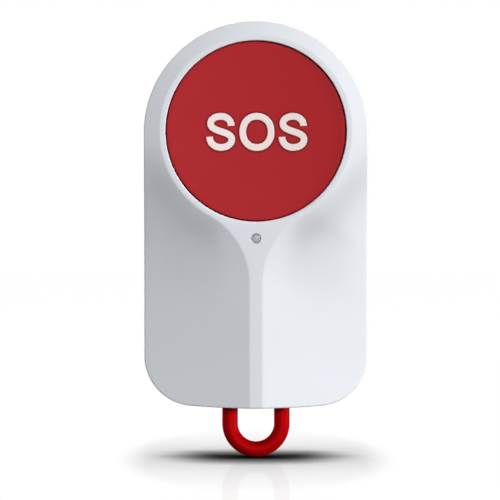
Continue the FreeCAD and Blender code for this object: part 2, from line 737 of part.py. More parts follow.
def chip_capacitors():
    chips = []
    for i in range(CAPACITORS):
        x = CHIP_X + (i - (CAPACITORS - 1) / 2) * CAPACITOR_PITCH
        chips.append(
            block(
                x - CAPACITOR_WIDTH / 2,
                x + CAPACITOR_WIDTH / 2,
                BOARD_DEPTH - CAPACITOR_WIDTH,
                BOARD_DEPTH,
                -CAPACITOR_DROP - CAPACITOR_LENGTH / 2,
                -CAPACITOR_DROP + CAPACITOR_LENGTH / 2,
            )
        )
    return Part.makeCompound(chips)


def antenna():
    """A stamped strip that winds to and fro behind the board, on a foot at each end."""
    half = ANTENNA_STRIP / 2
    top = -ANTENNA_DROP
    low = top - ANTENNA_HEIGHT
    back = BOARD_DEPTH - ANTENNA_STAND_OFF - ANTENNA_THICK
    front = back + ANTENNA_THICK
    pieces = []
    for i in range(ANTENNA_TURNS + 1):
        x = ANTENNA_X + i * ANTENNA_PITCH
        pieces.append(block(x - half, x + half, back, front, low, top))
        if i < ANTENNA_TURNS:
            z = top if i % 2 else low + ANTENNA_STRIP
            pieces.append(block(x - half, x + ANTENNA_PITCH + half, back, front, z - ANTENNA_STRIP, z))
    for x in (ANTENNA_X, ANTENNA_X + ANTENNA_TURNS * ANTENNA_PITCH):
        pieces.append(block(x - half, x + half, back, BOARD_DEPTH, top - ANTENNA_THICK, top))
    return pieces[0].multiFuse(pieces[1:]).removeSplitter()


def save(name, shape):
    shape.exportStep(os.path.join("parts", name + ".step"))


switch_body, switch_frame, switch_plunger = press_switch()
slide_body, slide_cover, slide_knob = pull_switch()

save("front_cover", front_cover())
save("rear_cover", rear_cover())
save("press_button", press_button())
save("return_pad", return_pad())
save("press_switch_body", switch_body)
save("press_switch_frame", switch_frame)
save("press_switch_plunger", switch_plunger)
save("pull_loop", pull_loop())
save("pull_slider", pull_slider())
save("pull_spring", pull_spring())
save("pull_switch_body", slide_body)
save("pull_switch_cover", slide_cover)
save("pull_switch_knob", slide_knob)
save("circuit_board", circuit_board())
save("board_screws", board_screws())
save("status_light", status_light())
save("light_pipe", light_pipe())
save("coin_cell", coin_cell())
save("cell_contact", cell_contact())
save("cell_strap", cell_strap())
save("radio_chip", radio_chip())
save("crystal", crystal())
save("chip_capacitors", chip_capacitors())
save("antenna", antenna())
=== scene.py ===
"""Looks of a wireless panic button: a pale wall unit with a red press button and a pull loop."""

import json
import logging
import math
from dataclasses import dataclass, field
from enum import Enum

import bmesh
import bpy
import numpy as np
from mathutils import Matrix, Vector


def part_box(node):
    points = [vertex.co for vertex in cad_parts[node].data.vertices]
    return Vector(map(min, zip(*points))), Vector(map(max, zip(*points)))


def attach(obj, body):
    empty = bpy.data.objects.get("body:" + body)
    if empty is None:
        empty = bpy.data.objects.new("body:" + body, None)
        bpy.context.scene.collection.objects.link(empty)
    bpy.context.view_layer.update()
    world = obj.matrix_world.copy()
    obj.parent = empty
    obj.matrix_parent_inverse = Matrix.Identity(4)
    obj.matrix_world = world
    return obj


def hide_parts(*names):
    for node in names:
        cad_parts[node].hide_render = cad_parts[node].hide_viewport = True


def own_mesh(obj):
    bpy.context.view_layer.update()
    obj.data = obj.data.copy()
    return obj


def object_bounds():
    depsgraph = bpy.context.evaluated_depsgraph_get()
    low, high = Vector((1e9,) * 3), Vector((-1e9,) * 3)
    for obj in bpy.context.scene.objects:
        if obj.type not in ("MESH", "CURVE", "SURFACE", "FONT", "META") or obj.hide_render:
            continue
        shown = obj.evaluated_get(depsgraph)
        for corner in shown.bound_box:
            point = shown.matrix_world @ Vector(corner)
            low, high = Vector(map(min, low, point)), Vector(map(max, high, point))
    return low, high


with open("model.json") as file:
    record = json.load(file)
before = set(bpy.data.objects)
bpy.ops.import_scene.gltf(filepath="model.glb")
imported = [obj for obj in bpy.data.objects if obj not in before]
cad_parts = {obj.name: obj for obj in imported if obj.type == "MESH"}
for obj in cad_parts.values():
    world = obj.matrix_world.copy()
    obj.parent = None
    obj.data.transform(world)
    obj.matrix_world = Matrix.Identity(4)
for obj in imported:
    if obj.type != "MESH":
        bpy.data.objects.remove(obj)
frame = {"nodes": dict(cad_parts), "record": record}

LOG = logging.getLogger("panic_button")
MM = 0.001
LEAN = "scoop_lean"
LIGHT_DROP = 17.98  # the light hole's axis below the button's, in millimetres
LEG_X = 4.38  # each leg of the loop from the middle, in millimetres
LEG_DEPTH = 7.5  # the legs' axes in front of the wall, in millimetres
WELD = 2.0e-6  # points closer than this become one, in metres
SLIVER = 1.0e-7  # edges shorter than this are dissolved, in metres
POLE = 0.0003  # the radius of a ring that is welded to one point, in millimetres
Socket = bpy.types.NodeSocket
CAD_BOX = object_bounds()


class Body(Enum):
    """The CAD bodies that pieces ride on."""

    HOUSING = "housing"
    BUTTON = "button"
    PULL = "pull"


class Slot(Enum):
    """The record's material slots."""

    WHITE_PLASTIC = "white_plastic"
    RED_BUTTON = "red_button"
    RED_ROD = "red_rod"
    GREY_RUBBER = "grey_rubber"
    BLACK_PLASTIC = "black_plastic"
    BRIGHT_STEEL = "bright_steel"
    GREEN_BOARD = "green_board"
    LAMP_RESIN = "lamp_resin"
    CLEAR_PLASTIC = "clear_plastic"
    GOLD_BRASS = "gold_brass"
    TAN_CERAMIC = "tan_ceramic"


def node_mm(node: str) -> tuple[np.ndarray, np.ndarray]:
    """Reads the lowest and the highest corner of a CAD node's box, in millimetres."""
    low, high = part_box(node)
    return np.array(low) / MM, np.array(high) / MM


class Graph:
    """A short way to write the nodes of a material or of the world."""

    def __init__(self, name: str, world: bool = False) -> None:
        """Makes an empty node material or world.

        Args:
            name: Its name.
            world: Whether it is a world.
        """
        self.owner = (bpy.data.worlds if world else bpy.data.materials).new(name)
        self.output = "OutputWorld" if world else "OutputMaterial"
        self.owner.use_nodes = True
        self.tree = self.owner.node_tree
        self.tree.nodes.clear()

    def node(self, kind: str, inputs: dict | None = None, **settings: object) -> bpy.types.Node:
        """Adds one node.

        Args:
            kind: The node's type, without the ShaderNode at its front.
            inputs: Values or output sockets for its inputs, by name or number.
            settings: Values for the node's own properties.

        Returns:
            The node.
        """
        made = self.tree.nodes.new("ShaderNode" + kind)
        for key, value in settings.items():
            setattr(made, key, value)
        for key, value in (inputs or {}).items():
            if isinstance(value, Socket):
                self.tree.links.new(value, made.inputs[key])
            else:
                made.inputs[key].default_value = value
        return made

    def place(self) -> Socket:
        """Gives the point on the piece in its own frame."""
        return self.node("TexCoord").outputs["Object"]

    def noise(self, scale: float, detail: float = 2.0, vector: Socket | None = None) -> Socket:
        """Adds a noise from 0 to 1, on object coordinates, with its scale in cells per metre."""
        inputs = {"Vector": vector or self.place(), "Scale": scale, "Detail": detail}
        return self.node("TexNoise", inputs).outputs[0]

    def lines(self, scale: float, stretch: tuple[float, float, float]) -> Socket:
        """Adds a noise drawn out into lines, by a factor on each axis that is small along them."""
        drawn = self.node("Mapping", {"Vector": self.place(), "Scale": stretch}).outputs[0]
        return self.noise(scale, detail=3.0, vector=drawn)

    def span(self, value: Socket, low: float, high: float) -> Socket:
        """Maps a value from 0..1 to low..high."""
        return self.node("MapRange", {"Value": value, "To Min": low, "To Max": high}).outputs[0]

    def fade(self, value: Socket, start: float, stop: float) -> Socket:
        """Rises smoothly from 0 to 1 as a length in metres passes from start to stop, in mm."""
        limits = {"Value": value, "From Min": start * MM, "From Max": stop * MM}
        return self.node("MapRange", limits, interpolation_type="SMOOTHSTEP").outputs[0]

    def mixed(self, share: Socket, first: tuple, second: tuple) -> Socket:
        """Blends two colours, with the first at a share of 0 and the second at 1."""
        inputs = {0: share, 6: (*first, 1.0), 7: (*second, 1.0)}
        return self.node("Mix", inputs, data_type="RGBA").outputs[2]

    def bump(self, height: Socket, distance: float, normal: Socket | None = None) -> Socket:
        """Turns a height into a normal.

        Args:
            height: The height, from 0 to 1.
            distance: What a height of 1 stands for, in metres.
            normal: The normal that it starts from, if not the surface's own.

        Returns:
            The bumped normal.
        """
        inputs = {"Height": height, "Distance": distance}
        if normal:
            inputs["Normal"] = normal
        return self.node("Bump", inputs).outputs[0]

    def math(
        self, operation: str, first: Socket, second: Socket | float, clamp: bool = False
    ) -> Socket:
        """Joins two values by an operation of the Math node, held between 0 and 1 by clamp."""
        inputs = {0: first, 1: second}
        return self.node("Math", inputs, operation=operation, use_clamp=clamp).outputs[0]

    def vector(self, operation: str, first: Socket, second: Socket | tuple) -> Socket:
        """Joins two vectors by an operation of the Vector Math node."""
        return self.node("VectorMath", {0: first, 1: second}, operation=operation).outputs[0]

    def scaled(self, vector: Socket | tuple, factor: Socket) -> Socket:
        """Multiplies a vector, or a colour, by a value."""
        return self.node("VectorMath", {0: vector, "Scale": factor}, operation="SCALE").outputs[0]

    def length(self, vector: Socket) -> Socket:
        """Measures a vector."""
        return self.node("VectorMath", {0: vector}, operation="LENGTH").outputs["Value"]

    def seen(self) -> Socket:
        """Tells the rays that show the background from all the others.

        Returns:
            1 for the camera's rays and those of gloss and transmission, and 0 for the others.
        """
        path = self.node("LightPath").outputs
        either = self.math("ADD", path["Is Camera Ray"], path["Is Glossy Ray"])
        return self.math("ADD", either, path["Is Transmission Ray"], clamp=True)

    def finish(self, surface: Socket) -> bpy.types.Material | bpy.types.World:
        """Joins the last shader to the output, and gives the finished material or world."""
        self.node(self.output, {"Surface": surface})
        return self.owner


@dataclass(frozen=True)
class Finish:
    """What every finish has: a name, a colour and a roughness.

    In the finishes, the scales of grains, clouds and lines are in cells per metre, and their
    depths in metres.
    """

    name: str
    colour: tuple[float, float, float]
    roughness: float

    def shade(self, tint: float) -> tuple[float, float, float]:
        """Scales the finish's colour by a factor."""
        return tuple(min(1.0, part * tint) for part in self.colour)

    def varied(self, g: Graph, value: Socket, share: float) -> Socket:
        """Makes the colour a share darker where a value is 0, and a share paler where it is 1."""
        return g.mixed(value, self.shade(1 - share), self.shade(1 + share))

    def uneven(self, g: Graph, value: Socket, spread: float) -> Socket:
        """Makes the roughness lower by the spread where a value is 0, and higher where it is 1."""
        return g.span(value, self.roughness - spread, self.roughness + spread)


@dataclass(frozen=True)
class MouldedPlastic(Finish):
    """Injection-moulded plastic: a fine spark-eroded grain and a faint flow mottling."""

    grain: float = 9000.0
    grain_depth: float = 2.0e-6
    flow: float = 110.0
    mottling: float = 0.02
    patches: float = 400.0
    spread: float = 0.04
    reflection: float = 0.4
    tilt: str = ""

    def leaning(self, g: Graph) -> Socket | None:
        """Leans the normal downwards by the amount in a value of the mesh, if one is named.

        Args:
            g: The material's graph.

        Returns:
            The leaning normal, or nothing.
        """
        if not self.tilt:
            return None
        amount = g.node("Attribute", attribute_name=self.tilt).outputs["Fac"]
        down = g.scaled((0.0, 0.0, -1.0), amount)
        added = g.vector("ADD", g.node("NewGeometry").outputs["Normal"], down)
        return g.node("VectorMath", {0: added}, operation="NORMALIZE").outputs[0]

    def build(self) -> bpy.types.Material:
        """Makes the material.

        Returns:
            The plastic.
        """
        g = Graph(self.name)
        inputs = {
            "Base Color": self.varied(g, g.noise(self.flow, detail=3.0), self.mottling),
            "Roughness": self.uneven(g, g.noise(self.patches), self.spread),
            "Normal": g.bump(g.noise(self.grain), self.grain_depth, self.leaning(g)),
            "Specular IOR Level": self.reflection,
        }
        return g.finish(g.node("BsdfPrincipled", inputs).outputs[0])


@dataclass(frozen=True)
class TintedGloss(Finish):
    """Polished plastic dyed right through, whose gloss takes the dye's own colour."""

    gloss: tuple[float, float, float] = (1.0, 0.01, 0.02)
    share: float = 0.2
    clouds: float = 120.0
    mottling: float = 0.03
    under_roughness: float = 0.6
    line_scale: float = 1800.0
    line_depth: float = 4.0e-7
    stretch: tuple[float, float, float] = (1.0, 1.0, 0.08)
    spread: float = 0.03

    def build(self) -> bpy.types.Material:
        """Makes the material.

        Returns:
            The plastic.
        """
        g = Graph(self.name)
        lines = g.lines(self.line_scale, self.stretch)
        normal = g.bump(lines, self.line_depth)
        body = {
            "Base Color": self.varied(g, g.noise(self.clouds, detail=3.0), self.mottling),
            "Roughness": self.under_roughness,
            "Normal": normal,
            "Specular IOR Level": 0.0,
        }
        coat = {
            "Color": (*self.gloss, 1.0),
            "Roughness": self.uneven(g, lines, self.spread),
            "Normal": normal,
        }
        under = g.node("BsdfPrincipled", body).outputs[0]
        over = g.node("BsdfAnisotropic", coat).outputs[0]
        return g.finish(g.node("MixShader", {0: self.share, 1: under, 2: over}).outputs[0])


@dataclass(frozen=True)
class Metal(Finish):
    """Pressed or drawn metal with fine lines along one direction."""

    line_scale: float = 2500.0
    line_depth: float = 2.0e-6
    stretch: tuple[float, float, float] = (0.05, 1.0, 1.0)
    darkest: float = 0.9
    palest: float = 1.08
    spread: float = 0.08

    def build(self) -> bpy.types.Material:
        """Makes the material.

        Returns:
            The metal.
        """
        g = Graph(self.name)
        lines = g.lines(self.line_scale, self.stretch)
        inputs = {
            "Base Color": g.mixed(lines, self.shade(self.darkest), self.shade(self.palest)),
            "Roughness": self.uneven(g, lines, self.spread),
            "Metallic": 1.0,
            "Normal": g.bump(lines, self.line_depth),
        }
        return g.finish(g.node("BsdfPrincipled", inputs).outputs[0])


@dataclass(frozen=True)
class BoardLacquer(Finish):
    """Green solder lacquer over copper tracks, which show as paler raised lines."""

    tracks: float = 900.0
    track_from: float = 0.42
    track_to: float = 0.5
    track_tint: float = 1.7
    track_height: float = 2.0e-5
    patches: float = 700.0
    smoother: float = 0.05
    rougher: float = 0.1

    def build(self) -> bpy.types.Material:
        """Makes the material.

        Returns:
            The lacquered board.
        """
        g = Graph(self.name)
        inputs = {"Vector": g.place(), "Scale": self.tracks}
        away = g.node("TexVoronoi", inputs, distance="MANHATTAN").outputs["Distance"]
        limits = {"Value": away, "From Min": self.track_from, "From Max": self.track_to}
        track = g.node("MapRange", limits).outputs[0]
        low, high = self.roughness - self.smoother, self.roughness + self.rougher
        inputs = {
            "Base Color": g.mixed(track, self.colour, self.shade(self.track_tint)),
            "Roughness": g.span(g.noise(self.patches), low, high),
            "Normal": g.bump(track, self.track_height),
        }
        return g.finish(g.node("BsdfPrincipled", inputs).outputs[0])


@dataclass(frozen=True)
class ClearPlastic(Finish):
    """Frosted clear plastic that lets light through."""

    clarity: float = 0.5
    bending: float = 1.49
    clouds: float = 900.0
    mottling: float = 0.04
    grain: float = 4000.0
    grain_depth: float = 1.0e-6

    def tone(self, g: Graph) -> Socket:
        """Gives the colour, with faint clouds."""
        return self.varied(g, g.noise(self.clouds), self.mottling)

    def haze(self, g: Graph) -> Socket | float:
        """Gives the roughness, which is the same all over."""
        return self.roughness

    def build(self) -> bpy.types.Material:
        """Makes the material.

        Returns:
            The clear plastic.
        """
        g = Graph(self.name)
        inputs = {
            "Base Color": self.tone(g),
            "Roughness": self.haze(g),
            "Transmission Weight": self.clarity,
            "IOR": self.bending,
            "Normal": g.bump(g.noise(self.grain), self.grain_depth),
        }
        return g.finish(g.node("BsdfPrincipled", inputs).outputs[0])


@dataclass(frozen=True)
class PipeEnd(ClearPlastic):
    """The end of a clear rod in its hole: pale in the middle, with painted shade at its rim."""

    pale_r: float = 0.3
    rim_r: float = 0.7
    painted_rim_shade: float = 0.8
    frost: float = 3000.0
    spread: float = 0.05

    def tone(self, g: Graph) -> Socket:
        """Paints shade into the colour, darker with the distance from the rod's axis.

        Args:
            g: The material's graph.

        Returns:
            The colour.
        """
        shift = g.vector("ADD", g.place(), (0.0, 0.0, LIGHT_DROP * MM))
        flat = g.vector("MULTIPLY", shift, (1.0, 0.0, 1.0))
        share = g.fade(g.length(flat), self.pale_r, self.rim_r)
        return g.mixed(share, self.colour, self.shade(self.painted_rim_shade))

    def haze(self, g: Graph) -> Socket:
        """Gives the roughness, which is uneven as frosting is."""
        return self.uneven(g, g.noise(self.frost), self.spread)


class Surface:
    """Grids of points that are welded into one mesh."""

    def __init__(self) -> None:
        """Starts with no points."""
        self.points: list[np.ndarray] = []
        self.faces: list[np.ndarray] = []
        self.count = 0

    def grid(self, points: np.ndarray, wrap: bool = False, skip: np.ndarray | None = None) -> None:
        """Adds a grid P(i, j) as four-sided faces between neighbours.

        Args:
            points: An array of rows, columns and 3, in millimetres.
            wrap: Whether the last column joins the first.
            skip: True for each face to leave out, rows - 1 by columns - 1.
        """
        rows, columns = points.shape[:2]
        index = self.count + np.arange(rows * columns).reshape(rows, columns)
        if wrap:
            index = np.concatenate([index, index[:, :1]], axis=1)
        quads = np.stack([index[:-1, :-1], index[:-1, 1:], index[1:, 1:], index[1:, :-1]], axis=-1)
        if skip is not None:
            quads = quads[~skip]
        self.points.append(points.reshape(-1, 3))
        self.faces.append(quads.reshape(-1, 4))
        self.count += rows * columns

    def both_sides(self, points: np.ndarray, skip: np.ndarray | None = None) -> None:
        """Adds a right-hand grid and its mirror image across x = 0, without the faces in skip."""
        self.grid(points, skip=skip)
        self.grid(points * np.array([-1.0, 1.0, 1.0]), skip=skip)

    def rod(self, points: np.ndarray) -> None:
        """Adds a tube and closes each end by a ring that shrinks to the end's middle.

        Args:
            points: The tube's grid, whose rows go along it and whose columns go round.
        """
        self.grid(points, wrap=True)
        for end in (points[:1], points[-1:]):
            middle = end.mean(axis=1, keepdims=True)
            spread = np.linalg.norm(end - middle, axis=-1, keepdims=True)
            self.grid(np.concatenate([end, middle + (end - middle) * POLE / spread]), wrap=True)

    def build(self, name: str, sharp: float = 40.0) -> bpy.types.Object:
        """Makes the object, smooth but for its sharp edges.

        Args:
            name: The object's name.
            sharp: The angle above which an edge stays sharp, in degrees.

        Returns:
            The object, linked to the scene.
        """
        points = np.concatenate(self.points) * MM
        faces = np.concatenate(self.faces)
        mesh = bpy.data.meshes.new(name)
        mesh.vertices.add(len(points))
        mesh.vertices.foreach_set("co", points.astype(np.float32).ravel())
        mesh.loops.add(faces.size)
        mesh.loops.foreach_set("vertex_index", faces.astype(np.int32).ravel())
        mesh.polygons.add(len(faces))
        mesh.polygons.foreach_set("loop_start", np.arange(0, faces.size, 4, dtype=np.int32))
        mesh.update(calc_edges=True)
        work = bmesh.new()
        work.from_mesh(mesh)
        bmesh.ops.remove_doubles(work, verts=work.verts, dist=WELD)
        bmesh.ops.dissolve_degenerate(work, edges=work.edges, dist=SLIVER)
        bmesh.ops.recalc_face_normals(work, faces=work.faces)
        work.to_mesh(mesh)
        work.free()
        mesh.validate()
        mesh.shade_smooth()
        mesh.set_sharp_from_angle(angle=math.radians(sharp))
        made = bpy.data.objects.new(name, mesh)
        bpy.context.scene.collection.objects.link(made)
        return made


def depth_points(x: np.ndarray, depth: np.ndarray, z: np.ndarray) -> np.ndarray:
    """Stacks x, depth and z into points, with the depth counted forwards from the wall."""
    x, depth, z = np.broadcast_arrays(x, depth, z)
    return np.stack([x, -depth, z], axis=-1)


def turned(profile: np.ndarray, steps: int, x: float = 0.0, z: float = 0.0) -> np.ndarray:
    """Turns a profile about an axis along the depth: P(i, j) = (r_j sin a_i, d_j, r_j cos a_i).

    Args:
        profile: Rows of radius and depth.
        steps: The number of steps round the axis.
        x: The axis's place to the right.
        z: The axis's height.

    Returns:
        The grid, whose columns go round once without the last.
    """
    angle = np.linspace(0, 2 * np.pi, steps, endpoint=False)
    radius, depth = profile[:, :1], profile[:, 1:]
    return depth_points(x + radius * np.sin(angle), depth, z + radius * np.cos(angle))


def eased(
    centre: tuple[float, float], start: float, stop: float, radius: float, steps: int
) -> np.ndarray:
    """Gives a round edge's points c + r (cos t, sin t), with t from start to stop in degrees."""
    angle = np.radians(np.linspace(start, stop, steps))
    return np.array(centre) + radius * np.stack([np.cos(angle), np.sin(angle)], axis=-1)


def ramp(value: np.ndarray, start: float, stop: float) -> np.ndarray:
    """Rises from 0 to 1 as t^2 (3 - 2 t), with t the share of the way from start to stop."""
    t = np.clip((value - start) / (stop - start), 0, 1)
    return t * t * (3 - 2 * t)


@dataclass(frozen=True)
class ScoopLean:
    """How much more the scoops beside the neck lean down than the straight lines do.

    A band follows the ring, a tail below it dies away, and near the foot the flanks lean a little
    less. Each pair is where a ramp starts and ends, in millimetres.
    """

    band: float = 0.28
    band_r: float = 18.5
    band_width: float = 2.6
    band_side: tuple[float, float] = (4.5, 9.0)
    band_drop: tuple[float, float] = (1.0, 10.0)
    tail: float = 0.15
    tail_side: tuple[float, float] = (3.0, 8.0)
    tail_start: tuple[float, float] = (12.0, 18.0)
    tail_end: tuple[float, float] = (18.0, 34.0)
    thinned: float = 0.65
    thin_side: tuple[float, float] = (13.0, 17.0)
    foot: float = 0.05
    foot_drop: tuple[float, float] = (33.0, 44.0)
    start_fall: tuple[float, float] = (0.03, 0.16)

    def amount(self, x: np.ndarray, z: np.ndarray, fall: np.ndarray) -> np.ndarray:
        """Adds up the band h exp(-((r - r0) / w)^2), the tail and the foot, each with its ramps.

        Args:
            x: The distance to the right.
            z: The height.
            fall: How far the flank lies behind the keyhole there.

        Returns:
            The lean, to be added to a normal of length 1. It is nothing on the keyhole and above
            the button's axis.
        """
        side, drop = np.abs(x), -z
        band = self.band * np.exp(-(((np.hypot(x, z) - self.band_r) / self.band_width) ** 2))
        band = band * ramp(side, *self.band_side) * ramp(drop, *self.band_drop)
        tail = self.tail * ramp(drop, *self.tail_start) * (1 - ramp(drop, *self.tail_end))
        tail = tail * (1 - self.thinned * ramp(side, *self.thin_side))
        foot = self.foot * ramp(drop, *self.foot_drop)
        total = band + tail * ramp(side, *self.tail_side) - foot
        return total * ramp(fall, *self.start_fall)


@dataclass(frozen=True)
class HousingForm:
    """The front cover's outline and relief as functions of place, in millimetres.

    The outline is a half round head, straight sides, round corners and a bowed bottom. The flat
    keyhole stands at full depth, and the flanks fall from its edge along straight lines: radii
    above the button's axis, and lines swept down beside the neck. The lines end by reach outside
    the side wall, and parting is the depth of the cover's back edge.
    """

    half_width: float
    drop: float
    depth: float
    parting: float
    head_z: float = -0.36
    corner_r: float = 8.42
    bow: float = 0.37
    wall: float = 1.8
    edge_r: float = 0.22
    ring_r: float = 16.12
    neck_r: float = 12.96
    rib: float = 1.083
    slope_deg: float = 13.0
    sweep: float = 10.0
    sweep_end: float = 40.0
    fall_end: float = 20.0
    reach: float = 3.0
    halvings: int = 40
    crease: float = 0.1
    bore_r: float = 15.17
    bore_edge: float = 0.16
    light_r: float = 0.825
    light_edge: float = 0.06
    scoops: ScoopLean = ScoopLean()

    @property
    def roof(self) -> float:
        """The depth of the cover's inner face behind the keyhole."""
        return self.depth - self.wall

    @property
    def corner(self) -> tuple[float, float]:
        """The centre of the right-hand lower corner."""
        return self.half_width - self.corner_r, -(self.drop - self.bow - self.corner_r)

    @property
    def bottom_r(self) -> float:
        """The radius of the bowed bottom, tangent to both corners."""
        cx = self.corner[0]
        return (cx**2 + (self.corner_r + self.bow) ** 2 - self.corner_r**2) / (2 * self.bow)

    @property
    def lean(self) -> float:
        """The angle of the line where the bottom meets a corner, from straight down."""
        return math.atan2(self.corner[0], self.bottom_r - self.drop - self.corner[1])

    @property
    def neck_x(self) -> float:
        """The distance of the neck's hollow centre from the middle."""
        return self.rib + self.neck_r

    @property
    def neck_drop(self) -> float:
        """How far the neck's hollow centre is below the button's axis."""
        return math.sqrt((self.ring_r + self.neck_r) ** 2 - self.neck_x**2)

    @property
    def neck_angle(self) -> float:
        """The angle below level at which the ring passes into the neck."""
        return math.atan2(self.neck_drop, self.neck_x)

    @property
    def slope(self) -> float:
        """The flanks' fall per millimetre."""
        return math.tan(math.radians(self.slope_deg))

    def outline(self, along: np.ndarray, inset: float) -> np.ndarray:
        """Gives the right half of the outline, a distance inside the wall.

        Args:
            along: From 0 at the top: head to 1, side to 2, corner to 3, bottom to 4.
            inset: The distance inside the wall.

        Returns:
            The x and z of each point.
        """
        cx, cz = self.corner
        base = self.bottom_r - self.drop
        head = np.pi / 2 * (1 - np.clip(along, 0, 1))
        side = self.head_z + np.clip(along - 1, 0, 1) * (cz - self.head_z)
        turn = -np.clip(along - 2, 0, 1) * (np.pi / 2 - self.lean)
        swing = self.lean * (1 - np.clip(along - 3, 0, 1))
        r0, r2, r3 = self.half_width - inset, self.corner_r - inset, self.bottom_r - inset
        spans = [along <= 1, along <= 2, along <= 3]
        x = [r0 * np.cos(head), r0 + 0 * along, cx + r2 * np.cos(turn)]
        z = [self.head_z + r0 * np.sin(head), side, cz + r2 * np.sin(turn)]
        x = np.select(spans, x, r3 * np.sin(swing))
        z = np.select(spans, z, base - r3 * np.cos(swing))
        return np.stack([x, z], axis=-1)

    def bottom_along(self, x: np.ndarray, inset: float) -> np.ndarray:
        """Finds the values of along, from 3 to 4, at which the inset bottom has a given x."""
        return 4 - np.arcsin(x / (self.bottom_r - inset)) / self.lean

    def keyhole_x(self, z: np.ndarray) -> np.ndarray:
        """Gives the keyhole's right-hand edge below the button's axis.

        Args:
            z: The height, at or below 0.

        Returns:
            The edge's x.
        """
        ring_low = -self.ring_r * math.sin(self.neck_angle)
        ring = np.sqrt(np.maximum(self.ring_r**2 - z**2, 0))
        rise = np.clip(z + self.neck_drop, 0, self.neck_r)
        neck = self.neck_x - np.sqrt(self.neck_r**2 - rise**2)
        return np.where(z >= ring_low, ring, neck)

    def keyhole(self, along: np.ndarray) -> np.ndarray:
        """Walks down the keyhole's right-hand edge.

        Args:
            along: The length from the top, in millimetres.

        Returns:
            The x and z of each point.
        """
        ring_end = self.ring_r * (np.pi / 2 + self.neck_angle)
        neck_end = ring_end + self.neck_r * self.neck_angle
        a = np.pi / 2 - along / self.ring_r
        b = np.pi - self.neck_angle + (along - ring_end) / self.neck_r
        spans = [along <= ring_end, along <= neck_end]
        x = [self.ring_r * np.cos(a), self.neck_x + self.neck_r * np.cos(b)]
        z = [self.ring_r * np.sin(a), -self.neck_drop + self.neck_r * np.sin(b)]
        x = np.select(spans, x, self.rib)
        z = np.select(spans, z, -self.neck_drop - (along - neck_end))
        return np.stack([x, z], axis=-1)

    def leaving(self, x: np.ndarray, z: np.ndarray) -> tuple[np.ndarray, np.ndarray]:
        """Finds where the flank's straight line through a place leaves the keyhole's edge.

        The line through the edge at height k ends at (far, k - s), with s = sweep sin^2(pi k /
        sweep_end), and k is found by halving.

        Args:
            x: The distance to the right, not below 0.
            z: The height, below 0.

        Returns:
            The height k and the line's drop s.
        """
        far = self.half_width + self.reach
        low = np.full(np.broadcast(x, z).shape, -(self.drop + self.reach))
        high = np.zeros_like(low)
        for _ in range(self.halvings):
            k = (low + high) / 2
            edge = self.keyhole_x(k)
            arch = self.sweep * np.sin(np.pi * k / self.sweep_end) ** 2
            swept = np.where(-k < self.sweep_end, arch, 0)
            above = k - swept * (x - edge) / (far - edge) > z
            high = np.where(above, k, high)
            low = np.where(above, low, k)
        return k, swept

    def fall(self, x: np.ndarray, z: np.ndarray) -> np.ndarray:
        """Gives how far the flank lies behind the keyhole.

        Above the button's axis it is slope times the run t outside the ring. Below it, a line's
        far end has fallen by a + (b - a) w^2 (3 - 2 w), with w = (s - k) / fall_end up to 1, a the
        head's fall there and b the fall of a plane from the rib. In both, the run t becomes
        (t + sqrt(t^2 + c^2)) / 2 for a crease c, so the keyhole's edge is a little soft.

        Args:
            x: The distance to the right, not below 0.
            z: The height.

        Returns:
            The fall.
        """
        far = self.half_width + self.reach
        height, swept = self.leaving(x, np.minimum(z, 0))
        edge = self.keyhole_x(height)
        share = np.clip((swept - height) / self.fall_end, 0, 1)
        head_fall = (far - self.ring_r) * self.slope
        rib_fall = (far - self.rib) * self.slope
        end_fall = head_fall + (rib_fall - head_fall) * share**2 * (3 - 2 * share)
        run = np.where(z >= 0, np.hypot(x, z) - self.ring_r, x - edge)
        slope = np.where(z >= 0, self.slope, end_fall / (far - edge))
        return slope * (run + np.sqrt(run**2 + self.crease**2)) / 2

    def hollow(self, x: np.ndarray, z: np.ndarray) -> np.ndarray:
        """Gives the scoops' extra lean at a place, to be added to a normal of length 1."""
        return self.scoops.amount(x, z, self.fall(np.abs(x), z))

    def relief(self, x: np.ndarray, z: np.ndarray) -> np.ndarray:
        """Gives the depth of the front before its outline is rounded.

        It is the full depth less the flanks' fall and less e - sqrt(e^2 - t^2) at the bore and at
        the light's hole, with t how far a place is inside a round lip of radius e.

        Args:
            x: The distance to the right.
            z: The height.

        Returns:
            The depth in front of the wall.
        """
        depth = self.depth - self.fall(np.abs(x), z)
        lips = ((0.0, self.bore_r, self.bore_edge), (LIGHT_DROP, self.light_r, self.light_edge))
        for drop, radius, edge in lips:
            inside = np.clip(edge - (np.hypot(x, z + drop) - radius), 0, edge)
            depth = depth - (edge - np.sqrt(np.maximum(edge**2 - inside**2, 0)))
        return depth


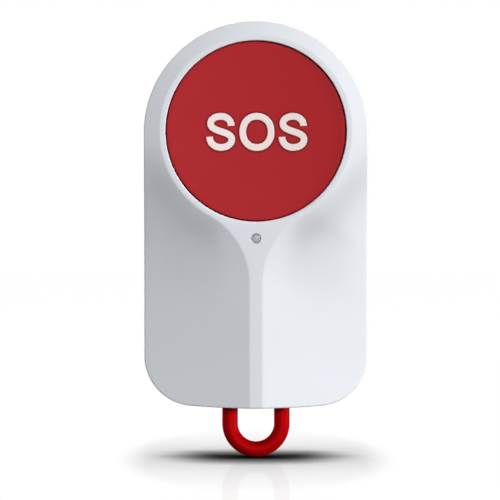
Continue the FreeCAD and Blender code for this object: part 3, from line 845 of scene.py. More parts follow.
@dataclass
class FrontShell:
    """The moulded front cover, as fine grids that follow its own edges, in millimetres.

    near holds how far the close rows lie from an edge, and nearly_half the largest share of a line
    that they may take. hole_rows holds the shares of the way from the leg's square window to its
    round hole. bore_wall is how far behind the face the bore's middle row lies, bore_shelf how far
    round the bore the roof stays level, lip_start the angle at which the eye's lip begins, in
    radians, and front_within how near to the relief a point counts as part of the front.
    """

    form: HousingForm
    head_steps: int = 72
    neck_steps: int = 96
    corner_steps: int = 20
    bore_steps: int = 44
    gap_steps: int = 4
    eye_steps: int = 22
    lead_steps: int = 2
    far_steps: int = 14
    window_steps: int = 8
    edge_rows: int = 8
    hem_rows: int = 4
    eye_rows: int = 4
    lip_rows: int = 6
    lip_start: float = 0.3
    roof_rows: int = 14
    roof_columns: int = 60
    eye_r: float = 1.6
    hole_r: float = 1.42
    hole_rows: tuple[float, ...] = (0.0, 0.4, 0.75, 1.0)
    window: float = 2.2
    near: tuple[float, ...] = (0.0, 0.03, 0.06, 0.1, 0.15, 0.22, 0.32, 0.45)
    nearly_half: float = 0.48
    hem: float = 0.15
    bore_wall: float = 0.9
    bore_shelf: float = 1.2
    front_within: float = 0.02

    @property
    def window_top(self) -> float:
        """The depth of the front side of the window that each leg passes through."""
        return LEG_DEPTH + self.window

    def rows(self, start: np.ndarray, end: np.ndarray, fractions: np.ndarray) -> np.ndarray:
        """Draws lines from one curve to another, with close rows near the first.

        Args:
            start: The first curve's points.
            end: The second curve's points.
            fractions: Where the far rows lie on what is left of each line, from 0 to 1.

        Returns:
            The grid of x and z, with a row for each step along the lines.
        """
        length = np.linalg.norm(end - start, axis=-1)
        near = np.array(self.near)[:, None] / length
        far = near[-1] + (1 - near[-1]) * fractions[:, None]
        share = np.concatenate([near, far])[..., None]
        return start + (end - start) * share

    def flank_fractions(self) -> np.ndarray:
        """Spaces the far rows so that, at the bottom, some meet the sides of the leg's window.

        Returns:
            The fractions, up to 1.
        """
        last = self.near[-1]
        total = self.bottom_length() - last
        first = (LEG_X - self.window - self.form.rib - last) / total
        second = (LEG_X + self.window - self.form.rib - last) / total
        lead = np.linspace(0, first, self.lead_steps + 1)[1:]
        middle = np.linspace(first, second, self.window_steps + 1)[1:]
        rest = np.linspace(second, 1, self.far_steps + 1)[1:]
        return np.concatenate([lead, middle, rest])

    def bottom_length(self) -> float:
        """Measures the bottom from the rib's edge to the middle of the corner.

        Returns:
            The length, in millimetres.
        """
        form = self.form
        bow = (form.bottom_r - form.edge_r) * form.lean - form.rib
        return bow + (form.corner_r - form.edge_r) * (np.pi / 2 - form.lean) / 2

    def bottom_point(self, distance: np.ndarray) -> np.ndarray:
        """Finds the place on the bottom at a distance from the rib's edge.

        Args:
            distance: The length from the rib's edge, in millimetres.

        Returns:
            The values of along, from 4 down to 2.5.
        """
        form = self.form
        radius = form.bottom_r - form.edge_r
        bow = radius * form.lean
        turn = (form.corner_r - form.edge_r) * (np.pi / 2 - form.lean)
        place = radius * math.asin(form.rib / radius) + distance
        return np.where(place <= bow, 4 - place / bow, 3 - (place - bow) / turn)

    def stations(self) -> tuple[np.ndarray, np.ndarray]:
        """Pairs places on the keyhole's edge with places on the outline, down to the corner.

        Returns:
            The lengths along the keyhole's edge, and the values of along on the outline.
        """
        form = self.form
        ring = form.ring_r * np.pi / 2
        total = form.ring_r * (np.pi / 2 + form.neck_angle) + form.neck_r * form.neck_angle
        corner_z = form.corner[1]
        last = total + (-form.neck_drop - corner_z)
        head = np.linspace(0, 1, self.head_steps + 1)
        side = np.linspace(0, 1, self.neck_steps + 1)[1:]
        lengths = np.concatenate([head * ring, ring + side * (last - ring)])
        return lengths, np.concatenate([head, 1 + side])

    def flank(self) -> tuple[np.ndarray, np.ndarray, np.ndarray]:
        """Lays out the flank as two grids of x and z: down to the corner, and round it.

        The lower one blends its four sides: P = (1-a) D + a B + (1-b) A + b C - corners.

        Returns:
            The upper grid, the lower grid, and the values of along where both meet the outline.
        """
        form = self.form
        fractions = self.flank_fractions()
        lengths, along = self.stations()
        upper = self.rows(form.keyhole(lengths), form.outline(along, form.edge_r), fractions)

        a = np.linspace(0, 1, self.corner_steps + 1)
        rib_low = form.outline(form.bottom_along(np.array(form.rib), form.edge_r), form.edge_r)
        rib_top = form.keyhole(lengths[-1:])[0]
        side_a = rib_top + a[:, None] * (rib_low - rib_top)
        along_c = 2 + a / 2
        side_c = form.outline(along_c, form.edge_r)
        side_d = upper[:, -1]
        total = self.bottom_length()
        last = self.near[-1]
        distances = np.concatenate([np.array(self.near), last + (total - last) * fractions])
        along_b = self.bottom_point(distances)
        side_b = form.outline(along_b, form.edge_r)
        b = (distances / total)[:, None, None]
        aa = a[None, :, None]
        edges = (1 - aa) * side_d[:, None] + aa * side_b[:, None]
        edges = edges + (1 - b) * side_a[None] + b * side_c[None]
        ends = (1 - aa) * (1 - b) * side_a[0] + aa * (1 - b) * side_a[-1]
        ends = ends + (1 - aa) * b * side_c[0] + aa * b * side_c[-1]
        rim = np.concatenate([along, along_c[1:], along_b[::-1][1:]])
        return upper, edges - ends, rim

    def inner_curve(self) -> np.ndarray:
        """Walks from the top of the bore round it and down the middle, past the light's eye.

        Returns:
            The x and z of each point, from the top of the bore to the rib's foot.
        """
        form = self.form
        head = np.linspace(0, np.pi / 2, self.head_steps, endpoint=False)
        low = np.linspace(np.pi / 2, np.pi, self.bore_steps, endpoint=False)
        bore = np.concatenate([head, low])
        eye = np.linspace(0, np.pi, self.eye_steps, endpoint=False)
        eye_top, eye_foot = -LIGHT_DROP + self.eye_r, -LIGHT_DROP - self.eye_r
        gap = np.linspace(-form.bore_r, eye_top, self.gap_steps, endpoint=False)
        used = self.bore_steps + self.gap_steps + self.eye_steps
        foot = form.outline(np.array(4.0), form.edge_r)[1]
        rest = np.linspace(eye_foot, foot, self.neck_steps + self.corner_steps - used + 1)
        x = [form.bore_r * np.sin(bore), 0 * gap, self.eye_r * np.sin(eye), 0 * rest]
        z = [form.bore_r * np.cos(bore), gap, -LIGHT_DROP + self.eye_r * np.cos(eye), rest]
        return np.stack([np.concatenate(x), np.concatenate(z)], axis=-1)

    def plateau(self, upper: np.ndarray, lower: np.ndarray) -> np.ndarray:
        """Lays out the flat keyhole between the inner curve and the keyhole's edge.

        The rows lie close together at both, and where the two are near each other no close row
        passes the middle.

        Args:
            upper: The flank's upper grid.
            lower: The flank's lower grid.

        Returns:
            The grid of x and z.
        """
        edge = np.concatenate([upper[0], lower[0, 1:]])
        inner = self.inner_curve()
        length = np.linalg.norm(edge - inner, axis=-1)
        most = self.nearly_half * np.linspace(0, 1, len(self.near))[:, None]
        near = np.minimum(np.array(self.near)[:, None] / length, most)
        share = np.concatenate([near, [0 * length + 0.5], 1 - near[::-1]])
        return inner + (edge - inner) * share[..., None]

    def lifted(self, flat: np.ndarray) -> np.ndarray:
        """Puts a grid of x and z onto the front's relief."""
        x, z = flat[..., 0], flat[..., 1]
        return depth_points(x, self.form.relief(x, z), z)

    def front_edge(self, surface: Surface, rim: np.ndarray) -> np.ndarray:
        """Adds the round front edge, whose rows lie e (1 - sin t) inside and e (1 - cos t) back.

        Args:
            surface: Where the grid goes.
            rim: The values of along for its columns.

        Returns:
            The depth of the edge's foot in each column.
        """
        form = self.form
        band = []
        for angle in np.linspace(0, np.pi / 2, self.edge_rows):
            x, z = form.outline(rim, form.edge_r * (1 - math.sin(angle))).T
            band.append(depth_points(x, form.relief(x, z) - form.edge_r * (1 - math.cos(angle)), z))
        surface.both_sides(np.array(band))
        return -band[-1][:, 1]

    def side_wall(self, surface: Surface, rim: np.ndarray, top: np.ndarray) -> None:
        """Adds the straight side wall, with its leg holes.

        Args:
            surface: Where the grids go.
            rim: The values of along for its columns.
            top: The depth that each column starts at.
        """
        form = self.form
        low = LEG_DEPTH - self.window
        levels = np.linspace(self.window_top, low, self.window_steps + 1)
        levels = np.append(levels, [(low + form.parting) / 2, form.parting + self.hem])
        levels = np.broadcast_to(levels[:, None], (len(levels), len(rim)))
        half_way = top + (self.window_top - top) * 0.5
        x, z = form.outline(rim, 0.0).T
        wall = depth_points(x, np.concatenate([[top, half_way], levels]), z)
        skip = self.in_window(wall)
        surface.both_sides(wall, skip)
        self.leg_hole(surface, wall, skip)

    def in_window(self, wall: np.ndarray) -> np.ndarray:
        """Marks the wall's faces that make way for the leg's hole.

        Args:
            wall: The side wall's grid.

        Returns:
            True for each face in the window.
        """
        middle = (wall[:-1, :-1] + wall[1:, 1:]) / 2
        across = np.abs(middle[..., 0] - LEG_X) < self.window
        along = np.abs(-middle[..., 1] - LEG_DEPTH) < self.window
        return across & along & (middle[..., 2] < self.form.corner[1])

    def leg_hole(self, surface: Surface, wall: np.ndarray, skip: np.ndarray) -> None:
        """Fills the window with rings that pass from its square edge to the leg's round hole.

        Each point goes straight towards the hole's axis, and the last ring is carried through
        the wall.

        Args:
            surface: Where the grids go.
            wall: The side wall's grid.
            skip: The faces that were left out.
        """
        rows, columns = np.nonzero(skip)
        r0, r1, c0, c1 = rows.min(), rows.max() + 1, columns.min(), columns.max() + 1
        sides = [wall[r0, c0:c1], wall[r0:r1, c1], wall[r1, c1:c0:-1], wall[r1:r0:-1, c0]]
        square = np.concatenate(sides)[:, :2]
        axis = np.array([LEG_X, -LEG_DEPTH])
        away = square - axis
        circle = axis + away / np.hypot(*away.T)[:, None] * self.hole_r
        rings = []
        for share in self.hole_rows:
            place = square + (circle - square) * share
            rings.append(np.column_stack([place, self.bottom_z(place[:, 0])]))
        rings.append(rings[-1] + np.array([0.0, 0.0, self.form.wall]))
        for side in (1.0, -1.0):
            surface.grid(np.array(rings) * np.array([side, 1.0, 1.0]), wrap=True)

    def bottom_z(self, x: np.ndarray) -> np.ndarray:
        """Gives the height of the bowed bottom at a distance to the right."""
        form = self.form
        return form.bottom_r - form.drop - np.sqrt(form.bottom_r**2 - x**2)

    def back_edge(self, surface: Surface, rim: np.ndarray) -> None:
        """Adds the round hem h (1 - cos t) inside, h (1 - sin t) in front, and the inner wall.

        Args:
            surface: Where the grid goes.
            rim: The values of along for its columns.
        """
        form = self.form
        band = []
        for angle in np.linspace(0, np.pi / 2, self.hem_rows):
            x, z = form.outline(rim, self.hem * (1 - math.cos(angle))).T
            band.append(depth_points(x, form.parting + self.hem * (1 - math.sin(angle)), z))
        x, z = form.outline(rim, form.wall).T
        band += [depth_points(x, depth, z) for depth in (form.parting, self.window_top)]
        surface.both_sides(np.array(band))

    def bore(self, surface: Surface) -> None:
        """Adds the straight wall of the button's bore, from its lip to the roof.

        Args:
            surface: Where the grid goes.
        """
        form = self.form
        inner = self.inner_curve()
        x, z = inner[np.isclose(np.hypot(*inner.T), form.bore_r)].T
        depths = (form.depth - form.bore_edge, form.depth - self.bore_wall, form.roof)
        surface.both_sides(np.array([depth_points(x, depth, z) for depth in depths]))

    def eye(self, surface: Surface) -> None:
        """Adds the light's eye as rings of falling radius, round its lip and down to the roof.

        Args:
            surface: Where the grid goes.
        """
        form = self.form
        centre = np.array([0.0, -LIGHT_DROP])
        away = self.inner_curve() - centre
        unit = away[np.isclose(np.hypot(*away.T), self.eye_r)] / self.eye_r
        flat = np.linspace(self.eye_r, form.light_r + form.light_edge, self.eye_rows)
        turn = np.linspace(self.lip_start, np.pi / 2, self.lip_rows)
        lip = form.light_r + form.light_edge * (1 - np.sin(turn))
        rings = [self.lifted(centre + unit * radius) for radius in (*flat, *lip)]
        x, z = (centre + unit * form.light_r).T
        rings.append(depth_points(x, form.roof, z))
        surface.both_sides(np.array(rings))

    def ceiling(self, surface: Surface) -> None:
        """Adds the roof inside, from the middle out: level at the bore, and falling to the sides.

        Args:
            surface: Where the grids go.
        """
        form = self.form
        end_x, end_z = form.outline(np.linspace(0, 4, self.roof_columns), form.wall).T
        shares = np.linspace(0, 1, self.roof_rows)[:, None]
        x, z = end_x * shares, np.broadcast_to(end_z, (self.roof_rows, self.roof_columns))
        fall = np.maximum(x - form.rib, 0) * form.slope
        level = np.hypot(x, z) < form.bore_r + self.bore_shelf
        inside = depth_points(x, np.where(level, form.roof, form.roof - fall), z)
        is_open = np.hypot(x, z) < form.bore_r
        skip = is_open[:-1, :-1] | is_open[1:, 1:] | is_open[:-1, 1:] | is_open[1:, :-1]
        surface.both_sides(inside, skip)
        ledge = depth_points(end_x, self.window_top, end_z)
        surface.both_sides(np.stack([inside[-1], ledge]))

    def build(self) -> bpy.types.Object:
        """Makes the front cover.

        Returns:
            The piece.
        """
        surface = Surface()
        upper, lower, rim = self.flank()
        plateau = self.plateau(upper, lower)
        foot = self.form.bottom_along(plateau[::-1, -1, 0][1:], self.form.edge_r)
        foot[-1] = 4.0
        rim = np.concatenate([rim, foot])
        for flat in (upper, lower, plateau):
            surface.both_sides(self.lifted(flat))
        top = self.front_edge(surface, rim)
        self.side_wall(surface, rim, top)
        self.back_edge(surface, rim)
        self.bore(surface)
        self.eye(surface)
        self.ceiling(surface)
        shell = surface.build("front_shell", 50.0)
        self.lean(shell)
        return shell

    def lean(self, shell: bpy.types.Object) -> None:
        """Writes the scoops' extra lean on the front's points.

        Args:
            shell: The cover.
        """
        points = np.empty(3 * len(shell.data.vertices), dtype=np.float32)
        shell.data.vertices.foreach_get("co", points)
        x, y, z = points.reshape(-1, 3).T / MM
        front = np.abs(-y - self.form.relief(x, z)) < self.front_within
        value = np.where(front, self.form.hollow(x, z), 0).astype(np.float32)
        layer = shell.data.attributes.new(LEAN, "FLOAT", "POINT")
        layer.data.foreach_set("value", value)


@dataclass
class ButtonCap:
    """The round cap: a shallow dish, a soft rim, a skirt and the flange that holds it."""

    rim_depth: float
    radius: float = 14.97
    flange_r: float = 15.9
    flange_top: float = 13.15
    flange_low: float = 12.05
    skirt_in: float = 13.7
    plate_under: float = 12.8
    dish: float = 0.45
    edge: float = 0.2
    face_rows: int = 26
    edge_rows: int = 8
    steps: int = 192

    def face(self, r: np.ndarray) -> np.ndarray:
        """Gives the depth of the dished face: rim - dish (1 - (r / R)^2)."""
        flat = self.radius - self.edge
        return self.rim_depth - self.dish * (1 - np.minimum(r / flat, 1.0) ** 2)

    def build(self) -> bpy.types.Object:
        """Turns the face, the soft rim, the skirt and the flange about the button's axis.

        Returns:
            The piece.
        """
        flat = self.radius - self.edge
        r = np.linspace(POLE, flat, self.face_rows)
        face = np.stack([r, self.face(r)], axis=-1)
        rim = eased((flat, self.rim_depth - self.edge), 90, 0, self.edge, self.edge_rows)[1:]
        rest = [
            [self.radius, self.flange_top],
            [self.flange_r, self.flange_top],
            [self.flange_r, self.flange_low],
            [self.skirt_in, self.flange_low],
            [self.skirt_in, self.plate_under],
            [POLE, self.plate_under],
        ]
        surface = Surface()
        surface.grid(turned(np.concatenate([face, rim, rest]), self.steps), wrap=True)
        return surface.build("button_cap", 45.0)


def bezier(points: list[tuple[float, float]], steps: int) -> np.ndarray:
    """Samples a cubic curve with four control points.

    Args:
        points: The control points.
        steps: The number of samples, without the last.

    Returns:
        The points, as rows of two.
    """
    t = np.linspace(0, 1, steps, endpoint=False)[:, None]
    p = np.array(points)
    s = 1 - t
    return s**3 * p[0] + 3 * s**2 * t * p[1] + 3 * s * t**2 * p[2] + t**3 * p[3]


@dataclass
class ButtonWord:
    """The word on the button, in strokes of one width that stand a little above the face."""

    cap: ButtonCap
    stroke: float = 1.13
    rise: float = 0.05
    round_edge: float = 0.05
    edge_rows: int = 5
    inner_column: float = 2.5
    middle: tuple[float, float] = (0.15, -0.13)
    pitch: float = 6.05
    steps: int = 20

    def letter_s(self) -> np.ndarray:
        """Draws the middle line of an S: two bowls joined by a slanting spine.

        Returns:
            The points, from the upper end to the lower end.
        """
        top, low = 2.6, -2.6
        right, left = 1.74, -1.7
        low_right, low_left = 1.83, -1.86
        bow = 0.58
        high_end, low_end = 1.02, -0.84
        upper, lower = 1.39, -1.27
        spine = 1.52
        high_bow, left_bow = high_end + bow * (top - high_end), upper + bow * (top - upper)
        right_bow, low_bow = lower + bow * (low - lower), low_end + bow * (low - low_end)
        curves = [
            [(right, high_end), (right, high_bow), (bow * right, top), (0, top)],
            [(0, top), (bow * left, top), (left, left_bow), (left, upper)],
            [(left, upper), (left, upper - spine), (low_right, lower + spine), (low_right, lower)],
            [(low_right, lower), (low_right, right_bow), (bow * low_right, low), (0, low)],
            [(0, low), (bow * low_left, low), (low_left, low_bow), (low_left, low_end)],
        ]
        parts = [bezier(points, self.steps) for points in curves]
        return np.concatenate([*parts, [curves[-1][-1]]])

    def letter_o(self) -> np.ndarray:
        """Draws the middle line of an O: |x/a|^n + |z/b|^n = 1.

        Returns:
            The points, once round without the last.
        """
        half_width, half_height, power = 2.37, 2.61, 2.15
        angle = np.linspace(0, 2 * np.pi, 4 * self.steps, endpoint=False)
        c, s = np.cos(angle), np.sin(angle)
        x = half_width * np.sign(c) * np.abs(c) ** (2 / power)
        z = half_height * np.sign(s) * np.abs(s) ** (2 / power)
        return np.stack([x, z], axis=-1)

    def ribbon(self, line: np.ndarray, closed: bool, shift: float) -> np.ndarray:
        """Widens a middle line into a raised ribbon whose rows go across the stroke.

        Its edges are quarter rounds, and one more column just inside each keeps the shading of the
        flat top level.

        Args:
            line: The middle line.
            closed: Whether it comes back to its start.
            shift: How far to the right the letter stands.

        Returns:
            The grid.
        """
        if closed:
            tangent = np.roll(line, -1, axis=0) - np.roll(line, 1, axis=0)
        else:
            tangent = np.gradient(line, axis=0)
        tangent /= np.linalg.norm(tangent, axis=-1, keepdims=True)
        normal = np.stack([-tangent[:, 1], tangent[:, 0]], axis=-1)
        half, ease = self.stroke / 2, self.round_edge
        turn = np.linspace(0, np.pi / 2, self.edge_rows)
        inside = -half + self.inner_column * ease
        edge = np.concatenate([[-half], -half + ease * (1 - np.cos(turn)), [inside]])
        rise = np.concatenate([[-1.0], np.sin(turn), [1.0]])
        across = np.concatenate([edge, [0.0], -edge[::-1]])
        up = np.concatenate([rise, [1.0], rise[::-1]])
        place = line[None] + across[:, None, None] * normal[None]
        x = place[..., 0] + self.middle[0] + shift
        z = place[..., 1] + self.middle[1]
        return depth_points(x, self.cap.face(np.hypot(x, z)) + self.rise * up[:, None], z)

    def build(self, name: str) -> bpy.types.Object:
        """Makes the word.

        Args:
            name: The piece's name.

        Returns:
            The piece.
        """
        surface = Surface()
        for shift in (-self.pitch, self.pitch):
            grid = self.ribbon(self.letter_s(), False, shift)
            surface.grid(grid)
            for end in (0, -1):
                half = (grid.shape[0] + 1) // 2
                side = grid[:half, end]
                other = grid[::-1][:half, end]
                surface.grid(np.stack([side, other]))
        surface.grid(self.ribbon(self.letter_o(), True, 0.0), wrap=True)
        return surface.build(name, 60.0)


@dataclass
class PullRod:
    """The red rod, bent into a loop below the housing."""

    top: float
    low: float
    radius: float = 1.32
    around: int = 56
    leg_steps: int = 40
    bend_steps: int = 96

    def path(self) -> tuple[np.ndarray, np.ndarray]:
        """Gives the rod's middle line and its sideways direction.

        Returns:
            The x and z of each point, and the outward direction there.
        """
        centre = self.low + self.radius + LEG_X
        down = np.linspace(self.top, centre, self.leg_steps, endpoint=False)
        angle = np.linspace(0, np.pi, self.bend_steps + 1)
        out = np.stack([np.cos(angle), -np.sin(angle)], axis=-1)
        bend = np.array([0.0, centre]) + LEG_X * out
        right = np.stack([np.full_like(down, LEG_X), down], axis=-1)
        left = right[::-1] * np.array([-1.0, 1.0])
        straight = np.broadcast_to([1.0, 0.0], right.shape)
        return np.concatenate([right, bend, left]), np.concatenate([straight, out, -straight])

    def build(self) -> bpy.types.Object:
        """Carries a circle along the middle line: P = c + r (cos a n + sin a y).

        Returns:
            The piece.
        """
        line, side = self.path()
        angle = np.linspace(0, 2 * np.pi, self.around, endpoint=False)
        reach = self.radius * np.cos(angle)
        x = line[:, :1] + reach * side[:, :1]
        z = line[:, 1:] + reach * side[:, 1:]
        surface = Surface()
        surface.rod(depth_points(x, LEG_DEPTH + self.radius * np.sin(angle), z))
        return surface.build("loop_rod", 50.0)


@dataclass
class LightEye:
    """The clear rod's end in the hole under the button, a little domed."""

    low: float
    face: float
    body_r: float = 1.25
    head_r: float = 0.785
    shoulder: float = 13.15
    dome: float = 0.08
    dome_rows: int = 10
    steps: int = 48

    def build(self) -> bpy.types.Object:
        """Turns the dome d sqrt(1 - (r / R)^2), the head and the body about the rod's axis.

        Returns:
            The piece.
        """
        r = self.head_r * np.sin(np.linspace(POLE / self.head_r, np.pi / 2, self.dome_rows))
        rise = self.dome * np.sqrt(1 - (r / self.head_r) ** 2)
        dome = np.stack([r, self.face - self.dome + rise], axis=-1)
        rest = [
            [self.head_r, self.shoulder],
            [self.body_r, self.shoulder],
            [self.body_r, self.low],
            [POLE, self.low],
        ]
        surface = Surface()
        profile = np.concatenate([dome, rest])
        surface.grid(turned(profile, self.steps, 0.0, -LIGHT_DROP), wrap=True)
        return surface.build("light_eye", 40.0)


@dataclass
class CoilSpring:
    """The coil spring under the slider, which its peg stands in."""

    low: np.ndarray
    high: np.ndarray
    travel: float = 2.5
    wire: float = 0.5
    turns: int = 3
    turn_steps: int = 48
    around: int = 16
    square: float = 4.0

    def coil(self) -> np.ndarray:
        """Carries a soft-cornered square section along a helix.

        P(a, t) = c + (R + u) (cos a, sin a) in the plane and z = z0 + p a + v, with the section
        |u / h|^n + |v / h|^n = 1 for n = square.

        Returns:
            The grid, whose rows go along the wire.
        """
        half = self.wire / 2
        middle = (self.low + self.high) / 2
        turns = 2 * np.pi * self.turns
        a = np.linspace(0, turns, self.turns * self.turn_steps + 1)[:, None]
        t = np.linspace(0, 2 * np.pi, self.around, endpoint=False)[None]
        u = half * np.sign(np.cos(t)) * np.abs(np.cos(t)) ** (2 / self.square)
        v = half * np.sign(np.sin(t)) * np.abs(np.sin(t)) ** (2 / self.square)
        reach = (self.high[0] - self.low[0]) / 2 - half + u
        height = self.high[2] - self.low[2] - self.wire
        z = self.low[2] + half + height * a / turns + v
        return np.stack([middle[0] + reach * np.cos(a), middle[1] + reach * np.sin(a), z], axis=-1)

    def build(self) -> bpy.types.Object:
        """Makes the spring with its two cut ends.

        Returns:
            The piece.
        """
        surface = Surface()
        surface.rod(self.coil())
        return surface.build("coil_spring", 50.0)

    def give(self, piece: bpy.types.Object) -> None:
        """Gives the spring a mesh of its own.

        Args:
            piece: The spring.
        """
        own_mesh(piece)


@dataclass
class RubberRing:
    """The soft ring that pushes the press button back out."""

    low: np.ndarray
    high: np.ndarray
    travel: float = 0.6
    wall: float = 1.5
    edge: float = 0.12
    edge_rows: int = 5
    steps: int = 128

    def build(self) -> bpy.types.Object:
        """Turns a rectangle with round corners about the button's axis.

        Returns:
            The piece.
        """
        outer = self.high[0] - self.edge
        inner = self.high[0] - self.wall + self.edge
        top = -self.low[1] - self.edge
        base = -self.high[1] + self.edge
        corners = [
            eased((outer, top), 90, 0, self.edge, self.edge_rows),
            eased((outer, base), 0, -90, self.edge, self.edge_rows),
            eased((inner, base), -90, -180, self.edge, self.edge_rows),
            eased((inner, top), 180, 90, self.edge, self.edge_rows),
        ]
        surface = Surface()
        profile = np.concatenate([*corners, corners[0][:1]])
        surface.grid(turned(profile, self.steps), wrap=True)
        return surface.build("rubber_ring", 60.0)

    def give(self, piece: bpy.types.Object) -> None:
        """Gives the ring a mesh of its own."""
        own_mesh(piece)


COOL_WHITE = (0.70, 0.722, 0.762)
FINISHES = {
    Slot.WHITE_PLASTIC: MouldedPlastic("cool_white_plastic", COOL_WHITE, 0.42, reflection=0.12),
    Slot.RED_BUTTON: MouldedPlastic(
        "satin_red_plastic", (0.412, 0.017, 0.022), 0.5, mottling=0.03, reflection=0.05
    ),
    Slot.RED_ROD: TintedGloss("gloss_red_plastic", (0.325, 0.001, 0.002), 0.5, share=0.06),
    Slot.GREY_RUBBER: MouldedPlastic("grey_rubber", (0.25, 0.25, 0.26), 0.8, grain_depth=5.0e-6),
    Slot.BLACK_PLASTIC: MouldedPlastic("black_plastic", (0.03, 0.03, 0.032), 0.5, mottling=0.08),
    Slot.BRIGHT_STEEL: Metal("bright_steel", (0.62, 0.62, 0.6), 0.32),
    Slot.GREEN_BOARD: BoardLacquer("green_board", (0.02, 0.13, 0.05), 0.35),
    Slot.LAMP_RESIN: ClearPlastic("lamp_resin", (0.75, 0.72, 0.5), 0.3),
    Slot.CLEAR_PLASTIC: ClearPlastic("clear_plastic", (0.45, 0.47, 0.5), 0.3),
    Slot.GOLD_BRASS: Metal("gold_brass", (0.7, 0.5, 0.2), 0.3),
    Slot.TAN_CERAMIC: MouldedPlastic("tan_ceramic", (0.45, 0.33, 0.2), 0.6, mottling=0.06),
}
COVER_PLASTIC = MouldedPlastic("cool_white_cover", COOL_WHITE, 0.42, reflection=0.12, tilt=LEAN)
WORD_INK = MouldedPlastic("word_ink", (0.82, 0.70, 0.68), 0.45, mottling=0.015, reflection=0.3)
# a dark red band, wider than the letters' strokes, that shows round their edges
WORD_DARK_EDGE = MouldedPlastic(
    "word_dark_edge", (0.25, 0.013, 0.017), 0.5, mottling=0.03, reflection=0.05
)
# the pipe's end carries painted shade, darker towards its rim where the gap round it lies in shadow
PIPE_END = PipeEnd("frosted_pipe_end", (0.45, 0.47, 0.50), 0.4, clarity=0.25, rim_r=0.62)


@dataclass(frozen=True)
class Lamp:
    """A soft square lamp that looks at the object's middle from one direction."""

    name: str
    tilt_deg: float
    around_deg: float
    power: float
    size: float
    distance: float = 1200.0

    def direction(self) -> np.ndarray:
        """Gives the way from the object to the lamp.

        The tilt is counted from straight in front, and the turn around from the right, upwards.

        Returns:
            The unit direction.
        """
        tilt, around = math.radians(self.tilt_deg), math.radians(self.around_deg)
        sideways = np.array([math.cos(around), 0.0, math.sin(around)])
        return math.sin(tilt) * sideways + math.cos(tilt) * np.array([0.0, -1.0, 0.0])


LAMPS = (
    Lamp("high", 75.0, 73.0, 4.5, 470.0),
    Lamp("low_right", 81.0, 2.5, 11.7, 120.0),
    Lamp("front", 15.0, 30.0, 10.7, 250.0),
    Lamp("rear", 160.0, 100.0, 12.0, 300.0),
    Lamp("rear_left", 128.0, 178.0, 6.5, 200.0),
)


@dataclass(frozen=True)
class FloorShade:
    """A pool of shade on the floor, which lies inside an oval, in millimetres.

    start and stop are the oval's half widths where it starts to fade and where it ends, squash is
    how much the depth counts against the width, and forward is how far in front of the wall the
    oval's middle lies. The shade is (open sky)^power, with the object counted up to reach.
    """

    start: float
    stop: float
    squash: float
    forward: float
    reach: float
    power: float
    samples: int = 16

    def outside(self, g: Graph) -> Socket:
        """Fades from the inside of the oval to its outside.

        Args:
            g: The floor's graph.

        Returns:
            0 inside and 1 outside.
        """
        shift = {"Vector": g.place(), "Location": (0.0, self.forward * MM, 0.0)}
        middle = g.node("Mapping", shift).outputs[0]
        flat = g.vector("MULTIPLY", middle, (1.0, self.squash, 0.0))
        return g.fade(g.length(flat), self.start, self.stop)

    def tone(self, g: Graph, outside: Socket) -> Socket:
        """Darkens the floor inside the oval by how little of the sky above it is open.

        Args:
            g: The floor's graph.
            outside: The fade to the oval's outside.

        Returns:
            The tone, from 0 to 1.
        """
        reach = {"Distance": self.reach * MM}
        sky = g.node("AmbientOcclusion", reach, samples=self.samples).outputs["AO"]
        return g.math("MAXIMUM", g.math("POWER", sky, self.power), outside)


